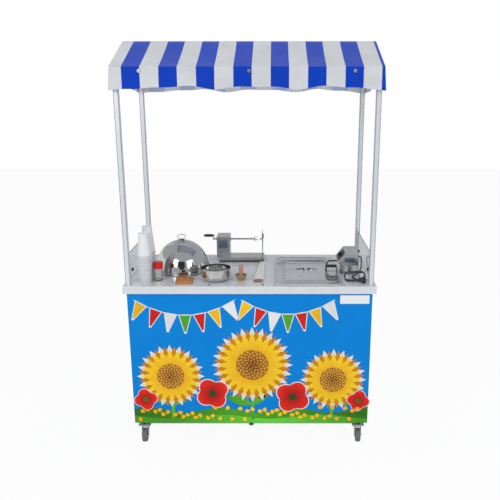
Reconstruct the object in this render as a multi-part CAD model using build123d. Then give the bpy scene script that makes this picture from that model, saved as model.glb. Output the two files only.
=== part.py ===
from build123d import *
from math import cos, hypot, pi, radians, sin, tan
import os

# Corn steamer cart, in millimetres.
# Origin: on the floor under the middle of the cart. X runs along the counter,
# the customer stands on the -Y side, Z is up.

# Counter and cabinet
top_length = 1300.0
top_width = 650.0
top_height = 910.0
top_sheet = 1.5
fascia_depth = 40.0
fascia_corner = 4.0
fascia_roll = 4.0
fascia_return = 9.0
end_overhang = 18.0
front_overhang = 13.0
panel_thickness = 3.0
frame_tube = 25.0
frame_tube_wall = 1.5
floor_sheet = 2.0
seat_gap = 0.3

# Casters
wheel_radius = 37.5
wheel_width = 25.0
wheel_sides = 16
wheel_chamfer = 3.0
hub_recess = 4.0
hub_recess_radius = 22.0
hub_boss_radius = 11.0
hub_sides = 8
small_sides = 8
axle_radius = 4.0
running_clearance = 0.06
caster_trail = 18.0
fork_ear_gap = 2.5
fork_ear = 2.5
fork_crown = 3.0
crown_height = 5.6
wheel_headroom = 11.0
fork_end_radius = 11.0
race_radius = 23.0
race_height = 5.0
race_gap = 0.4
kingpin_radius = 5.0
kingpin_head_radius = 8.0
kingpin_head_height = 4.0
plate_side = 65.0
plate_thickness = 3.0
gusset_thickness = 3.0
caster_inset_x = 42.0
caster_inset_y = 47.0
axle_head_radius = 7.0
axle_head = 3.0

# Doors in the back of the cabinet
door_gap = 2.0
door_sheet = 1.2
door_depth = 18.0
door_frame_width = 40.0
hinge_pin_radius = 4.0
knuckle_radius = 7.0
knuckle_length = 30.0
knuckle_inset = 110.0
hinge_leaf = 2.0
pull_length = 110.0
pull_radius = 5.0
pull_stand_off = 26.0
pull_inset = 45.0

# Canopy
post_side = 25.0
post_wall = 1.5
post_inset_x = 27.0
post_inset_y = 29.0
spigot_height = 60.0
spigot_clearance = 0.2
eave_height = 1981.0
roof_rise = 134.0
cover_side_reach = 39.0
cover_end_reach = 19.0
cover_thickness = 2.0
eave_tube = 20.0
rafter_gap = 0.5
rafter_width = 20.0
valance_drop = 92.0
corner_drop = 17.0
hem_wave = 4.0
fold_depth = 5.0
hem_flare = 8.0
fold_shoulder = 0.3
folds_long = 8
folds_short = 4
screw_radius = 5.0
screw_shank_radius = 2.5
washer_radius = 9.0
screw_head = 2.5
screw_drop = 19.0
screw_inset = 140.0
screw_shift = 10.0

# Side glass
glass_thickness = 5.0
glass_height = 156.0
glass_gap = 3.0
glass_clip_height = 15.0
glass_clip_length = 14.0
glass_clip_inset = 87.5
glass_clip_rise = 54.0
glass_clip_thickness = 4.0

# Corn steamer
steamer_from_left = 264.0
steamer_from_front = 327.0
pot_radius = 138.0
pot_wall = 1.2
pot_depth = 165.0
pot_flange_radius = 158.0
pot_flange = 1.5
pot_opening_clearance = 1.0
pot_base_taper = 8.0
round_sides = 24
rack_radius = 120.0
rack_height = 60.0
rack_sheet = 2.0
rack_rim = 8.0
rack_hole_radius = 9.0
rack_hole_pitch = 38.0
rack_hole_rings = (4, 8)
rack_leg_radius = 4.0
heater_radius = 90.0
heater_thickness = 12.0
heater_gland_radius = 9.0
heater_gland_height = 16.0
dome_radius = 152.0
dome_height = 166.0
dome_wall = 1.0
dome_bands = 5
dome_roll = 4.0
dome_handle_width = 52.0
dome_handle_height = 31.0
dome_handle_strap = 10.0
dome_handle_gauge = 4.0
dome_handle_foot = 12.0

# Fryer tank in the counter, with its lid
tank_from_right = 350.0
tank_from_front = 268.0
tank_flange_length = 341.0
tank_flange_width = 517.0
tank_flange = 1.5
tank_length = 308.0
tank_width = 450.0
tank_depth = 150.0
tank_wall = 1.2
tank_corner = 30.0
flange_corner = 14.0
lid_thickness = 1.5
lid_skirt = 7.0
lid_raise = 6.0
lid_panel_length = 240.0
lid_panel_width = 417.0
lid_panel_shift = -14.0
lid_clearance = 0.5
lid_recess_length = 126.0
lid_recess_width = 54.0
lid_recess_depth = 12.0
lid_bridge_width = 16.0
lid_bridge_thickness = 3.0

# Potato twister
twister_from_back = 56.0
twister_from_tank = 63.5
twister_length = 257.0
twister_width = 118.0
twister_base_height = 26.0
twister_sheet = 2.0
column_overhang = 16.0
column_length = 74.0
column_head = 23.0
rod_rise = 125.0
rod_side = 8.0
rod_end_gap = 41.0
rod_clearance = 0.3
sleeve_radius = 11.0
sleeve_collar_radius = 15.0
sleeve_collar = 4.0
sleeve_end_gap = 0.4
prong_hub_radius = 13.0
prong_hub = 5.0
prong_radius = 1.6
prong_length = 17.0
prong_circle = 10.0
prong_count = 3
crank_from_column = 22.0
crank_arm = 50.0
crank_lean = 80.0
crank_width = 14.0
crank_thickness = 4.0
grip_length = 54.0
grip_gap = 2.0
grip_radius = 8.5
grip_end_radius = 6.5
grip_pin_radius = 3.5
blade_from_end = 11.0
blade_sheet = 4.0
blade_foot_width = 90.0
blade_top_width = 52.0
blade_plate_head = 43.0
blade_opening = 30.0
corer_radius = 5.0
corer_bore = 3.0
corer_length = 18.0
blade_thickness = 1.2
blade_depth = 12.0
blade_pitch = 6.0
blade_rim = 5.0
blade_rim_sheet = 1.5
blade_clearance = 0.5

# Electric head
drum_from_right = 116.5
drum_from_front = 259.0
drum_radius = 49.5
drum_height = 52.0
head_length = 109.0
head_depth = 176.0
head_height = 66.0
head_right_reach = 46.5
head_front_reach = 50.0
head_slope = 42.0
head_lip = 12.0
head_undercut = 19.0
panel_plate = 2.0
panel_plate_width = 96.0
panel_plate_height = 56.0
dial_radius = 13.0
dial_height = 14.0
dial_sides = 16
dial_grip_width = 5.0
dial_rim = 2.0
dial_shaft_radius = 3.0
dial_shaft_length = 9.0
dial_gap = 0.4

# Mains cord of the head
cord_radius = 3.5
cord_sides = 5
gland_length = 14.0
gland_radius = 7.0
gland_tip_radius = 5.0
gland_behind_drum = 36.0
gland_rise = 28.0
hank_from_right = 49.0
hank_length = 106.0
hank_start_gap = 26.0
hank_end_gap = 81.0
hank_from_front = 113.0
hank_pitch = 9.0
hank_loops = 3
hank_rest = 4.0
hank_height = 44.0
hank_bend = 21.5
hank_cross_bend = 60.0
hank_cross_gap = 31.5
hank_side = 6.3
plug_length = 38.0
plug_radius = 17.0
plug_pin_radius = 2.4
plug_pin_length = 19.0
plug_pin_spacing = 19.0

# Things that stand on the counter, placed from its left end and its front edge.
# Where a share is given, it is the share of the way from the left end to the tank.
cup_sides = 10
cup_foot_radius = 29.5
cup_rim_radius = 39.5
cup_rim_pitch = 11.3
cup_rims = 13
cup_groove = 1.8
cup_top_radius = 23.5
front_cups_from_left = 108.0
front_cups_from_front = 73.0
rear_cups_from_left = 110.0
rear_cups_from_front = 161.0
front_cups_height = 264.0
rear_cups_height = 282.0
jar_from_left = 168.5
jar_from_front = 111.0
jar_radius = 23.0
jar_sides = 14
jar_height = 66.0
jar_wall = 2.0
jar_neck_radius = 20.0
jar_neck_height = 18.0
cap_radius = 25.5
cap_height = 34.0
cap_wall = 1.5
cap_clearance = 0.4
sponge_share = 0.3926
sponge_from_front = 87.0
sponge_length = 90.0
sponge_width = 98.0
sponge_height = 24.0
sponge_turn = 4.0
bowl_share = 0.6004
bowl_from_front = 127.0
bowl_radius = 79.0
bowl_height = 66.0
bowl_wall = 1.0
bowl_foot_radius = 50.0
bowl_bands = 3
pestle_bowl_share = 0.7717
pestle_bowl_from_front = 116.0
pestle_bowl_radius = 31.5
pestle_bowl_foot = 17.5
pestle_bowl_height = 30.0
pestle_bowl_wall = 4.0
pestle_radius = 12.0
pestle_height = 74.0
skewer_front_share = 0.8865
skewer_back_share = 0.9057
skewer_from_front = 63.0
skewer_from_twister = 21.0
skewer_diameter = 5.0
skewer_rows = (6, 5)
skewer_gap = 4.0
tongs_from_tank = 160.0
tongs_length = 285.0
tongs_behind_tank = 183.0
tongs_tip = 3.0
tongs_bow = 2.0
tongs_width = 20.0
tongs_sheet = 1.2
tongs_spread = 20.0
lift_gap = 0.3
basket_wire = 2.5
basket_foot = (106.0, -29.0)
basket_frame_length = 190.0
basket_frame_width = 56.0
basket_frame_gap = 10.0
basket_splay = 4.0
basket_bend = 10.0
basket_arch_bend = 18.0
basket_grip_length = 60.0
basket_grip_radius = 8.0
basket_handle_height = 52.0

# Places worked out from the sizes above
top_x = top_length / 2
top_y = top_width / 2
cabinet_x = top_x - end_overhang
cabinet_y = top_y - front_overhang
frame_x = cabinet_x - panel_thickness
frame_y = cabinet_y - panel_thickness
top_underside = top_height - top_sheet
panel_top = top_height - fascia_depth / 2
crown_bottom = 2 * wheel_radius + wheel_headroom
crown_top = crown_bottom + crown_height
race_bottom = crown_top + race_gap
plate_top = race_bottom + race_height + plate_thickness
chassis_bottom = plate_top + gusset_thickness
cabinet_bottom = chassis_bottom + frame_tube
ring_top = cabinet_bottom + frame_tube
caster_x = frame_x - caster_inset_x
caster_y = frame_y - caster_inset_y
post_x = top_x - post_inset_x
post_y = top_y - post_inset_y
cover_half_length = post_x + cover_end_reach
eave_half_width = post_y + cover_side_reach
ridge_height = eave_height + roof_rise
hem_height = eave_height - valance_drop
screw_height = eave_height - screw_drop
steamer_x = steamer_from_left - top_x
steamer_y = steamer_from_front - top_y
tank_x = top_x - tank_from_right
tank_y = tank_from_front - top_y
tank_left = tank_x - tank_flange_length / 2
twister_right = tank_left - twister_from_tank
twister_left = twister_right - twister_length
twister_back = top_y - twister_from_back
twister_front = twister_back - twister_width
column_left = twister_left - column_overhang
column_right = column_left + column_length
rod_height = top_height + rod_rise
blade_x = twister_right - blade_from_end
rod_end = blade_x - rod_end_gap
crank_x = column_left - crank_from_column
drum_x = top_x - drum_from_right
drum_y = drum_from_front - top_y
head_right = drum_x + head_right_reach
head_left = head_right - head_length
head_front = drum_y - head_front_reach
head_back = head_front + head_depth
head_bottom = top_height + drum_height
head_top = head_bottom + head_height
gland_y = drum_y + gland_behind_drum
gland_z = head_bottom + gland_rise
hank_right = top_x - hank_from_right
hank_left = hank_right - hank_length
hank_start = hank_right - hank_start_gap
hank_end = hank_right - hank_end_gap
hank_y = hank_from_front - top_y
hank_bottom = top_height + hank_rest
flange_seat = top_height + pot_flange + lift_gap


def counter_x(share):
    """A place along the counter, as a share of the way from its left end to the tank."""
    return share * (tank_left + top_x) - top_x


def block(x0, x1, y0, y1, z0, z1):
    """A box between two corners."""
    middle = Pos((x0 + x1) / 2, (y0 + y1) / 2, (z0 + z1) / 2)
    return middle * Box(abs(x1 - x0), abs(y1 - y0), abs(z1 - z0))


def post(radius, height, x, y, z):
    """An upright cylinder that stands on z."""
    return Pos(x, y, z + height / 2) * Cylinder(radius, height)


def bar_x(radius, x0, x1, y, z):
    """A cylinder that lies along X."""
    return Pos((x0 + x1) / 2, y, z) * Rot(0, 90, 0) * Cylinder(radius, abs(x1 - x0))


def prism(radius, height, x, y, z):
    """An upright many-sided post, for a round piece that nothing turns on."""
    return Pos(x, y, z) * extrude(RegularPolygon(radius, small_sides), height)


def hex_x(radius, x0, x1, y, z, sides=6):
    """A bar along X with flats, such as a bolt's head."""
    return Pos(x0, y, z) * Rot(0, 90, 0) * extrude(RegularPolygon(radius, sides), x1 - x0)


def square_tube(side, wall, length):
    """A square tube along Z from the origin."""
    section = Rectangle(side, side) - Rectangle(side - 2 * wall, side - 2 * wall)
    return extrude(section, length)


def tube_x(side, wall, x0, x1, y, z):
    return Pos(x0, y, z) * Rot(0, 90, 0) * square_tube(side, wall, x1 - x0)


def tube_y(side, wall, x, y0, y1, z):
    return Pos(x, y0, z) * Rot(-90, 0, 0) * square_tube(side, wall, y1 - y0)


def side_shape(points, x0, x1):
    """A shape drawn in the YZ plane and drawn out along X."""
    outline = make_face(Polyline(*[(y, z) for y, z in points], close=True))
    return Pos(x0, 0, 0) * extrude(Plane.YZ * outline, x1 - x0)


def front_shape(points, y0, y1):
    """A shape drawn in the XZ plane and drawn out along Y."""
    outline = make_face(Polyline(*[(x, z) for x, z in points], close=True))
    return Pos(0, y1, 0) * extrude(Plane.XZ * outline, y1 - y0)


def turned(profile, sides, centre):
    """A turned shape cut as flats, from a closed run of (radius, height) points."""
    cx, cy, cz = centre

    def corner(radius, height, step):
        turn = 2 * pi * step / sides
        return (cx + radius * cos(turn), cy + radius * sin(turn), cz + height)

    faces = []
    for (r0, z0), (r1, z1) in zip(profile, profile[1:] + profile[:1]):
        if r0 == 0 and r1 == 0:
            continue
        if z0 == z1 and min(r0, r1) == 0:
            rim = [corner(max(r0, r1), z0, i) for i in range(sides)]
            faces.append(Face(Wire.make_polygon(rim)))
            continue
        for i in range(sides):
            quad = [corner(r0, z0, i), corner(r0, z0, i + 1), corner(r1, z1, i + 1), corner(r1, z1, i)]
            if r0 == 0:
                quad = quad[1:]
            if r1 == 0:
                quad = quad[:-1]
            faces.append(Face(Wire.make_polygon(quad)))
    return Solid(Shell(faces))


def mirrored_x(shape):
    return mirror(shape, about=Plane.YZ)


def save(name, *solids):
    """Write one sub-part; loose pieces of one kind share a file."""
    loose = []
    for shape in solids:
        loose.extend(shape.solids())
    part = loose[0] if len(loose) == 1 else Compound(children=loose)
    export_step(part, f"parts/{name}.step")


def base_frame():
    """The welded cabinet frame with its chassis rails and caster gussets."""
    side, wall = frame_tube, frame_tube_wall
    half = side / 2
    frame = None
    for z in (cabinet_bottom + half, top_underside - half):
        for sign in (-1, 1):
            long_rail = tube_x(side, wall, -frame_x, frame_x, sign * (frame_y - half), z)
            cross_rail = tube_y(side, wall, sign * (frame_x - half), side - frame_y, frame_y - side, z)
            frame = long_rail + cross_rail if frame is None else frame + long_rail + cross_rail
    for sx in (-1, 1):
        for sy in (-1, 1):
            leg = square_tube(side, wall, top_underside - side - ring_top)
            frame += Pos(sx * (frame_x - half), sy * (frame_y - half), ring_top) * leg
            corner = Pos(sx * caster_x, sy * caster_y, plate_top + gusset_thickness / 2)
            frame += corner * Box(plate_side, plate_side, gusset_thickness)
    chassis_z = chassis_bottom + half
    for x in (-caster_x, 0.0, caster_x):
        frame += tube_y(side, wall, x, -frame_y + half, frame_y - half, chassis_z)
    for sign in (-1, 1):
        for x0, x1 in ((-caster_x + half, -half), (half, caster_x - half)):
            frame += tube_x(side, wall, x0, x1, sign * caster_y, chassis_z)
    return frame


def caster_plates():
    """Each caster's top plate, ball race and kingpin, as one riveted piece."""
    plates = []
    for sx in (-1, 1):
        for sy in (-1, 1):
            x, y = sx * caster_x, sy * caster_y
            plate = Pos(x, y, plate_top - plate_thickness / 2) * Box(plate_side, plate_side, plate_thickness)
            plate += prism(race_radius, race_height, x, y, race_bottom)
            head_top = crown_bottom - race_gap
            plate += post(kingpin_radius, race_bottom - head_top, x, y, head_top)
            plate += prism(kingpin_head_radius, kingpin_head_height, x, y, head_top - kingpin_head_height)
            plates.append(plate)
    return plates


def caster_fork(x, y):
    """A pressed fork: crown, two ears and the axle bolt with its nut."""
    inner = wheel_width / 2 + fork_ear_gap
    outer = inner + fork_ear
    axle_y = -caster_trail
    crown = prism(race_radius, crown_top - crown_bottom - fork_crown, 0, 0, crown_bottom + fork_crown)
    crown += block(-outer, outer, -race_radius, race_radius, crown_bottom, crown_bottom + fork_crown)
    crown -= post(kingpin_radius + running_clearance, 2 * race_radius, 0, 0, crown_bottom - race_radius)
    ear = make_face(Polyline(
        (-race_radius, crown_bottom + fork_crown),
        (race_radius, crown_bottom + fork_crown),
        (race_radius, crown_bottom - fork_crown),
        (axle_y + fork_end_radius, wheel_radius),
        (axle_y, wheel_radius - fork_end_radius),
        (axle_y - fork_end_radius, wheel_radius),
        close=True,
    ))
    fork = crown
    for side in (-outer, inner):
        fork += Pos(side, 0, 0) * extrude(Plane.YZ * ear, fork_ear)
    axle = bar_x(axle_radius, -outer, outer, axle_y, wheel_radius)
    axle += hex_x(axle_head_radius, -outer - axle_head, -outer, axle_y, wheel_radius)
    axle += hex_x(axle_head_radius, outer, outer + axle_head, axle_y, wheel_radius)
    return Pos(x, y, 0) * (fork + axle)


def caster_wheel(x, y):
    """A moulded wheel with a recess on each side of its hub."""
    tread = extrude(RegularPolygon(wheel_radius, wheel_sides, major_radius=False), wheel_width / 2, both=True)
    rims = tread.faces().sort_by(Axis.Z)[0].edges() + tread.faces().sort_by(Axis.Z)[-1].edges()
    tread = chamfer(rims, wheel_chamfer)
    recess = RegularPolygon(hub_recess_radius, hub_sides) - RegularPolygon(hub_boss_radius, hub_sides)
    for z, way in ((wheel_width / 2, -1), (-wheel_width / 2, 1)):
        tread -= Pos(0, 0, z) * extrude(recess, way * hub_recess)
    tread -= Cylinder(axle_radius + running_clearance, 2 * wheel_width)
    turn = Rot(0, 90, 0) * Rot(0, 0, 180 / wheel_sides)
    return Pos(x, y - caster_trail, wheel_radius) * turn * tread


def cabinet_floor():
    """The bottom sheet, notched round the four legs."""
    edge = seat_gap + frame_tube
    sheet = block(-frame_x, frame_x, -frame_y, frame_y, ring_top, ring_top + floor_sheet)
    for sx in (-1, 1):
        for sy in (-1, 1):
            notch = Box(2 * edge, 2 * edge, 4 * floor_sheet)
            sheet -= Pos(sx * frame_x, sy * frame_y, ring_top) * notch
    return sheet


def front_panel():
    return block(-cabinet_x, cabinet_x, -cabinet_y, -frame_y, cabinet_bottom, panel_top)


def side_panel():
    """The right-hand panel, let in between the front panel and the door frame."""
    return block(frame_x, cabinet_x, -frame_y, frame_y, cabinet_bottom, panel_top)


door_opening_x = cabinet_x - door_frame_width
door_opening_low = cabinet_bottom + door_frame_width
door_opening_high = top_height - fascia_depth - door_frame_width
hinge_y = cabinet_y + knuckle_radius
knuckle_places = (door_opening_low + knuckle_inset, door_opening_high - knuckle_inset)


def rear_frame():
    """The surround of the two doors, with folded jambs."""
    surround = block(-cabinet_x, cabinet_x, frame_y, cabinet_y, cabinet_bottom, panel_top)
    jamb = frame_tube
    surround += block(-door_opening_x - door_sheet, door_opening_x + door_sheet,
                      cabinet_y - jamb, frame_y,
                      door_opening_low - door_sheet, door_opening_high + door_sheet)
    return surround - block(-door_opening_x, door_opening_x,
                            frame_y - 2 * jamb, cabinet_y + jamb,
                            door_opening_low, door_opening_high)


def hinge_knuckles():
    """The frame halves of the four door hinges, each with its pin."""
    halves = []
    for z in knuckle_places:
        half = prism(knuckle_radius, knuckle_length, door_opening_x, hinge_y, z - knuckle_length)
        leaf = block(door_opening_x, door_opening_x + door_frame_width / 2,
                     cabinet_y, cabinet_y + hinge_leaf, z - knuckle_length, z)
        pin = post(hinge_pin_radius, knuckle_length, door_opening_x, hinge_y, z)
        half = half + leaf + pin
        halves += [half, mirrored_x(half)]
    return halves


def door():
    """The right-hand door: a folded tray with its hinge halves."""
    x0, x1 = door_gap / 2, door_opening_x - door_gap
    z0, z1 = door_opening_low + door_gap, door_opening_high - door_gap
    tray = block(x0, x1, cabinet_y - door_depth, cabinet_y, z0, z1)
    tray -= block(x0 + door_sheet, x1 - door_sheet, cabinet_y - 2 * door_depth,
                  cabinet_y - door_sheet, z0 + door_sheet, z1 - door_sheet)
    for z in knuckle_places:
        low = z + seat_gap
        knuckle = prism(knuckle_radius, knuckle_length, door_opening_x, hinge_y, low)
        knuckle += block(door_opening_x - door_frame_width / 2, door_opening_x,
                         cabinet_y, cabinet_y + hinge_leaf, low, low + knuckle_length)
        bore = post(hinge_pin_radius + running_clearance, 2 * knuckle_length, door_opening_x, hinge_y,
                    low - knuckle_length / 2)
        tray += knuckle - bore
    return tray


def door_pull():
    """A bent strap handle near the middle of the right-hand door."""
    middle = (door_opening_low + door_opening_high) / 2
    low, high = middle - pull_length / 2, middle + pull_length / 2
    outer = cabinet_y + pull_stand_off
    strap = side_shape([
        (cabinet_y, low), (outer - pull_radius, low), (outer, low + pull_radius),
        (outer, high - pull_radius), (outer - pull_radius, high), (cabinet_y, high),
        (cabinet_y, high - pull_radius), (outer - 2 * pull_radius, high - pull_radius),
        (outer - pull_radius, high - 2 * pull_radius), (outer - pull_radius, low + 2 * pull_radius),
        (outer - 2 * pull_radius, low + pull_radius), (cabinet_y, low + pull_radius),
    ], pull_inset - pull_radius, pull_inset + pull_radius)
    return strap


def worktop():
    """The folded steel top with a return under its fascia and two cut-outs."""
    outer = block(-top_x, top_x, -top_y, top_y, top_height - fascia_depth, top_height)
    outer = chamfer(outer.edges().filter_by(Axis.Z), fascia_corner)
    outer = chamfer(outer.faces().sort_by(Axis.Z)[-1].edges(), fascia_roll / 2)
    inner_x, inner_y = top_x - top_sheet, top_y - top_sheet
    inner = block(-inner_x, inner_x, -inner_y, inner_y, top_height - fascia_depth + top_sheet, top_underside)
    inner = chamfer(inner.edges().filter_by(Axis.Z), fascia_corner)
    inner = chamfer(inner.faces().sort_by(Axis.Z)[-1].edges(), fascia_roll / 2)
    mouth_x, mouth_y = inner_x - fascia_return, inner_y - fascia_return
    mouth = block(-mouth_x, mouth_x, -mouth_y, mouth_y, top_height - 2 * fascia_depth, top_height - fascia_depth / 2)
    top = outer - inner - mouth
    top -= post(pot_radius + pot_opening_clearance, 4 * top_sheet, steamer_x, steamer_y, top_height - 2 * top_sheet)
    cut_length = tank_length + 2 * pot_opening_clearance
    cut_width = tank_width + 2 * pot_opening_clearance
    cut = RectangleRounded(cut_length, cut_width, tank_corner + pot_opening_clearance)
    return top - Pos(tank_x, tank_y, top_height - 2 * top_sheet) * extrude(cut, 4 * top_sheet)


eave_frame_top = eave_height - cover_thickness - rafter_gap
eave_frame_bottom = eave_frame_top - eave_tube
roof_slope = (ridge_height - eave_height) / eave_half_width
cover_side_y = eave_half_width - cover_thickness - rafter_gap
cover_side_x = cover_half_length - cover_thickness - rafter_gap


def canopy_posts():
    """Four square aluminium tubes from the counter to the roof frame."""
    posts = []
    for sx in (-1, 1):
        for sy in (-1, 1):
            tube = square_tube(post_side, post_wall, eave_frame_bottom - top_height)
            posts.append(Pos(sx * post_x, sy * post_y, top_height) * tube)
    return posts


def post_spigots():
    """The plugs on the counter that the posts slide over."""
    side = post_side - 2 * post_wall - 2 * spigot_clearance
    return [
        block(sx * post_x - side / 2, sx * post_x + side / 2, sy * post_y - side / 2,
              sy * post_y + side / 2, top_height, top_height + spigot_height)
        for sx in (-1, 1) for sy in (-1, 1)
    ]


def roof_frame():
    """The welded canopy frame: a ring at the eaves, three pairs of rafters and a ridge bar."""
    side, wall = eave_tube, post_wall
    half = side / 2
    z = eave_frame_top - half
    frame = None
    for sign in (-1, 1):
        long_rail = tube_x(side, wall, -cover_side_x, cover_side_x, sign * (cover_side_y - half), z)
        end_rail = tube_y(side, wall, sign * (cover_side_x - half), side - cover_side_y, cover_side_y - side, z)
        frame = long_rail + end_rail if frame is None else frame + long_rail + end_rail
    drop = side * hypot(1, roof_slope)
    peak = eave_frame_top + cover_side_y * roof_slope
    rafters = [
        (-cover_side_y, eave_frame_top), (0, peak), (cover_side_y, eave_frame_top),
        (cover_side_y - drop / roof_slope, eave_frame_top), (0, peak - drop),
        (drop / roof_slope - cover_side_y, eave_frame_top),
    ]
    for x in (-cover_side_x, -rafter_width / 2, cover_side_x - rafter_width):
        frame += side_shape(rafters, x, x + rafter_width)
    ridge = [
        (-half, peak - drop), (half, peak - drop),
        (half, peak - half * roof_slope), (0, peak), (-half, peak - half * roof_slope),
    ]
    for x0, x1 in ((rafter_width - cover_side_x, -rafter_width / 2), (rafter_width / 2, cover_side_x - rafter_width)):
        frame += side_shape(ridge, x0, x1)
    return frame


def fold_points(folds):
    """Steps along folded cloth: how far along each one is, and how far out it swings."""
    steps = []
    for i in range(folds):
        swing = 1 if i % 2 else -1
        steps += [(i / folds, 0), ((i + fold_shoulder) / folds, swing), ((i + 1 - fold_shoulder) / folds, swing)]
    return steps


def wavy_ring(half_x, half_y, wave, z):
    """A closed outline round the canopy whose sides swing in and out by wave."""
    points = []
    corners = [(-half_x, -half_y), (half_x, -half_y), (half_x, half_y), (-half_x, half_y)]
    for side in range(4):
        (x0, y0), (x1, y1) = corners[side], corners[(side + 1) % 4]
        length = hypot(x1 - x0, y1 - y0)
        for along, swing in fold_points(folds_long if side % 2 == 0 else folds_short):
            reach = wave * swing / length
            points.append((x0 + (x1 - x0) * along + (y1 - y0) * reach, y0 + (y1 - y0) * along - (x1 - x0) * reach, z))
    return make_face(Polyline(*points, close=True))


def hem_cutter(half, depth, folds):
    """What the hem line cuts away: low at the corners, with a shallow wave between them."""
    low = hem_height - corner_drop
    points = [(-half, low)]
    for along, swing in fold_points(folds):
        if 1 / folds <= along <= 1 - 1 / folds:
            points.append((2 * half * along - half, hem_height + hem_wave * swing))
    points += [(half, low), (half, low - depth), (-half, low - depth)]
    return Plane.XZ * make_face(Polyline(*points, close=True))


def screw_places():
    """The three screws: one near each end and one a little off the middle."""
    reach = cover_half_length - screw_inset
    return -reach, screw_shift, reach


def canopy_cover():
    """The sewn cover: two slopes, two gables and a valance that hangs in shallow folds."""
    wall = cover_thickness
    half_x, half_y = cover_half_length, eave_half_width
    roof = side_shape([(-half_y, eave_height), (0, ridge_height), (half_y, eave_height)], -half_x, half_x)
    roof -= side_shape([
        (wall / roof_slope - half_y, eave_height), (0, ridge_height - wall), (half_y - wall / roof_slope, eave_height),
    ], wall - half_x, half_x - wall)
    foot = hem_height - corner_drop - 2 * hem_wave
    skirt = None
    for inset in (0, wall):
        top = wavy_ring(half_x - inset, half_y - inset, 0, eave_height)
        hem = wavy_ring(half_x + hem_flare - inset, half_y + hem_flare - inset, fold_depth, foot)
        drape = loft([top, hem], ruled=True)
        skirt = drape if skirt is None else skirt - drape
    low = extrude(hem_cutter(half_x + 2 * hem_flare, 2 * corner_drop, folds_long), 2 * half_y, both=True)
    skirt -= low
    for x in screw_places():
        skirt -= cross_bar(1.3 * screw_shank_radius, x, -half_y - 2 * hem_flare, -half_y / 2, screw_height)
    return roof + skirt


def cross_bar(radius, x, y0, y1, z):
    """A many-sided bar that lies along Y."""
    return Pos(x, y0, z) * Rot(-90, 0, 0) * extrude(RegularPolygon(radius, small_sides), y1 - y0)


def cover_screws():
    """Three screws with washers that hold the valance to the front rail."""
    fall = (eave_height - screw_height) / (eave_height - hem_height + corner_drop)
    face = -eave_half_width - (hem_flare + fold_depth) * fall
    screws = []
    for x in screw_places():
        screw = cross_bar(washer_radius, x, face - screw_head / 2, face, screw_height)
        screw += cross_bar(screw_radius, x, face - 1.5 * screw_head, face - screw_head / 2, screw_height)
        screw += cross_bar(screw_shank_radius, x, face, -cover_side_y, screw_height)
        screws.append(screw)
    return screws


def glass():
    """The right-hand pane, between the front and the back post."""
    end = post_y - post_side / 2 - glass_gap
    half = glass_thickness / 2
    return block(post_x - half, post_x + half, -end, end, top_height + seat_gap, top_height + glass_height)


def glass_clips():
    """Rubber-faced clips, one pair on each pane, with a foot on each side of the glass."""
    clips = []
    half = glass_thickness / 2
    clip_z = top_height + glass_clip_rise
    clip_y = post_y - post_side / 2 - glass_gap - glass_clip_inset
    for y in (-clip_y, clip_y):
        pad = block(post_x - half - glass_clip_thickness, post_x + half + glass_clip_thickness,
                    y - glass_clip_length / 2, y + glass_clip_length / 2,
                    clip_z - glass_clip_height / 2, clip_z + glass_clip_height / 2)
        pad -= block(post_x - half, post_x + half, y - glass_clip_length, y + glass_clip_length,
                     clip_z - glass_clip_height, clip_z + glass_clip_height)
        clips += [pad, mirrored_x(pad)]
    return clips


def steamer_pot():
    """The drop-in water pot with the flange that hangs it in the counter."""
    inner = pot_radius - pot_wall
    base = pot_radius - pot_base_taper
    profile = [
        (0, -pot_depth), (base, -pot_depth), (pot_radius, pot_base_taper - pot_depth), (pot_radius, 0),
        (pot_flange_radius, 0), (pot_flange_radius, pot_flange), (inner, pot_flange),
        (inner, pot_base_taper - pot_depth), (base - pot_wall, pot_wall - pot_depth), (0, pot_wall - pot_depth),
    ]
    return turned(profile, round_sides, (steamer_x, steamer_y, top_height))


pot_floor = top_height - pot_depth + pot_wall


def steam_rack():
    """A perforated plate on three legs that keeps the cobs over the water."""
    plate_z = pot_floor + rack_height
    plate = extrude(RegularPolygon(rack_radius, round_sides), rack_sheet)
    plate += extrude(RegularPolygon(rack_radius, round_sides)
                     - RegularPolygon(rack_radius - rack_sheet, round_sides), rack_rim)
    rows = [(0, 0)]
    for ring, count in enumerate(rack_hole_rings, start=1):
        for i in range(count):
            turn = 2 * pi * i / count
            rows.append((ring * rack_hole_pitch * cos(turn), ring * rack_hole_pitch * sin(turn)))
    for x, y in rows:
        plate -= Pos(x, y, 0) * extrude(RegularPolygon(rack_hole_radius, 6), 3 * rack_sheet, both=True)
    plate = Pos(steamer_x, steamer_y, plate_z) * plate
    for i in range(3):
        turn = 2 * pi * (i + 0.25) / 3
        reach = 2.7 * rack_hole_pitch
        x, y = steamer_x + reach * cos(turn), steamer_y + reach * sin(turn)
        plate += Pos(x, y, pot_floor) * extrude(RegularPolygon(rack_leg_radius, 8), rack_height)
    return plate


def pot_heater():
    """The electric plate clamped under the pot, with the gland for its lead."""
    top = top_height - pot_depth
    plate = Pos(steamer_x, steamer_y, top - heater_thickness) * extrude(
        RegularPolygon(heater_radius, round_sides), heater_thickness)
    gland = Pos(steamer_x, steamer_y, top - heater_thickness - heater_gland_height) * extrude(
        RegularPolygon(heater_gland_radius, 12), heater_gland_height)
    return plate + gland


def dome_profile(radius, height, start):
    """Points up the dome's meridian, a quarter of an ellipse."""
    points = []
    for i in range(dome_bands):
        turn = pi / 2 * i / dome_bands
        points.append((radius * cos(turn), start + height * sin(turn)))
    return points + [(0, start + height)]


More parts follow.
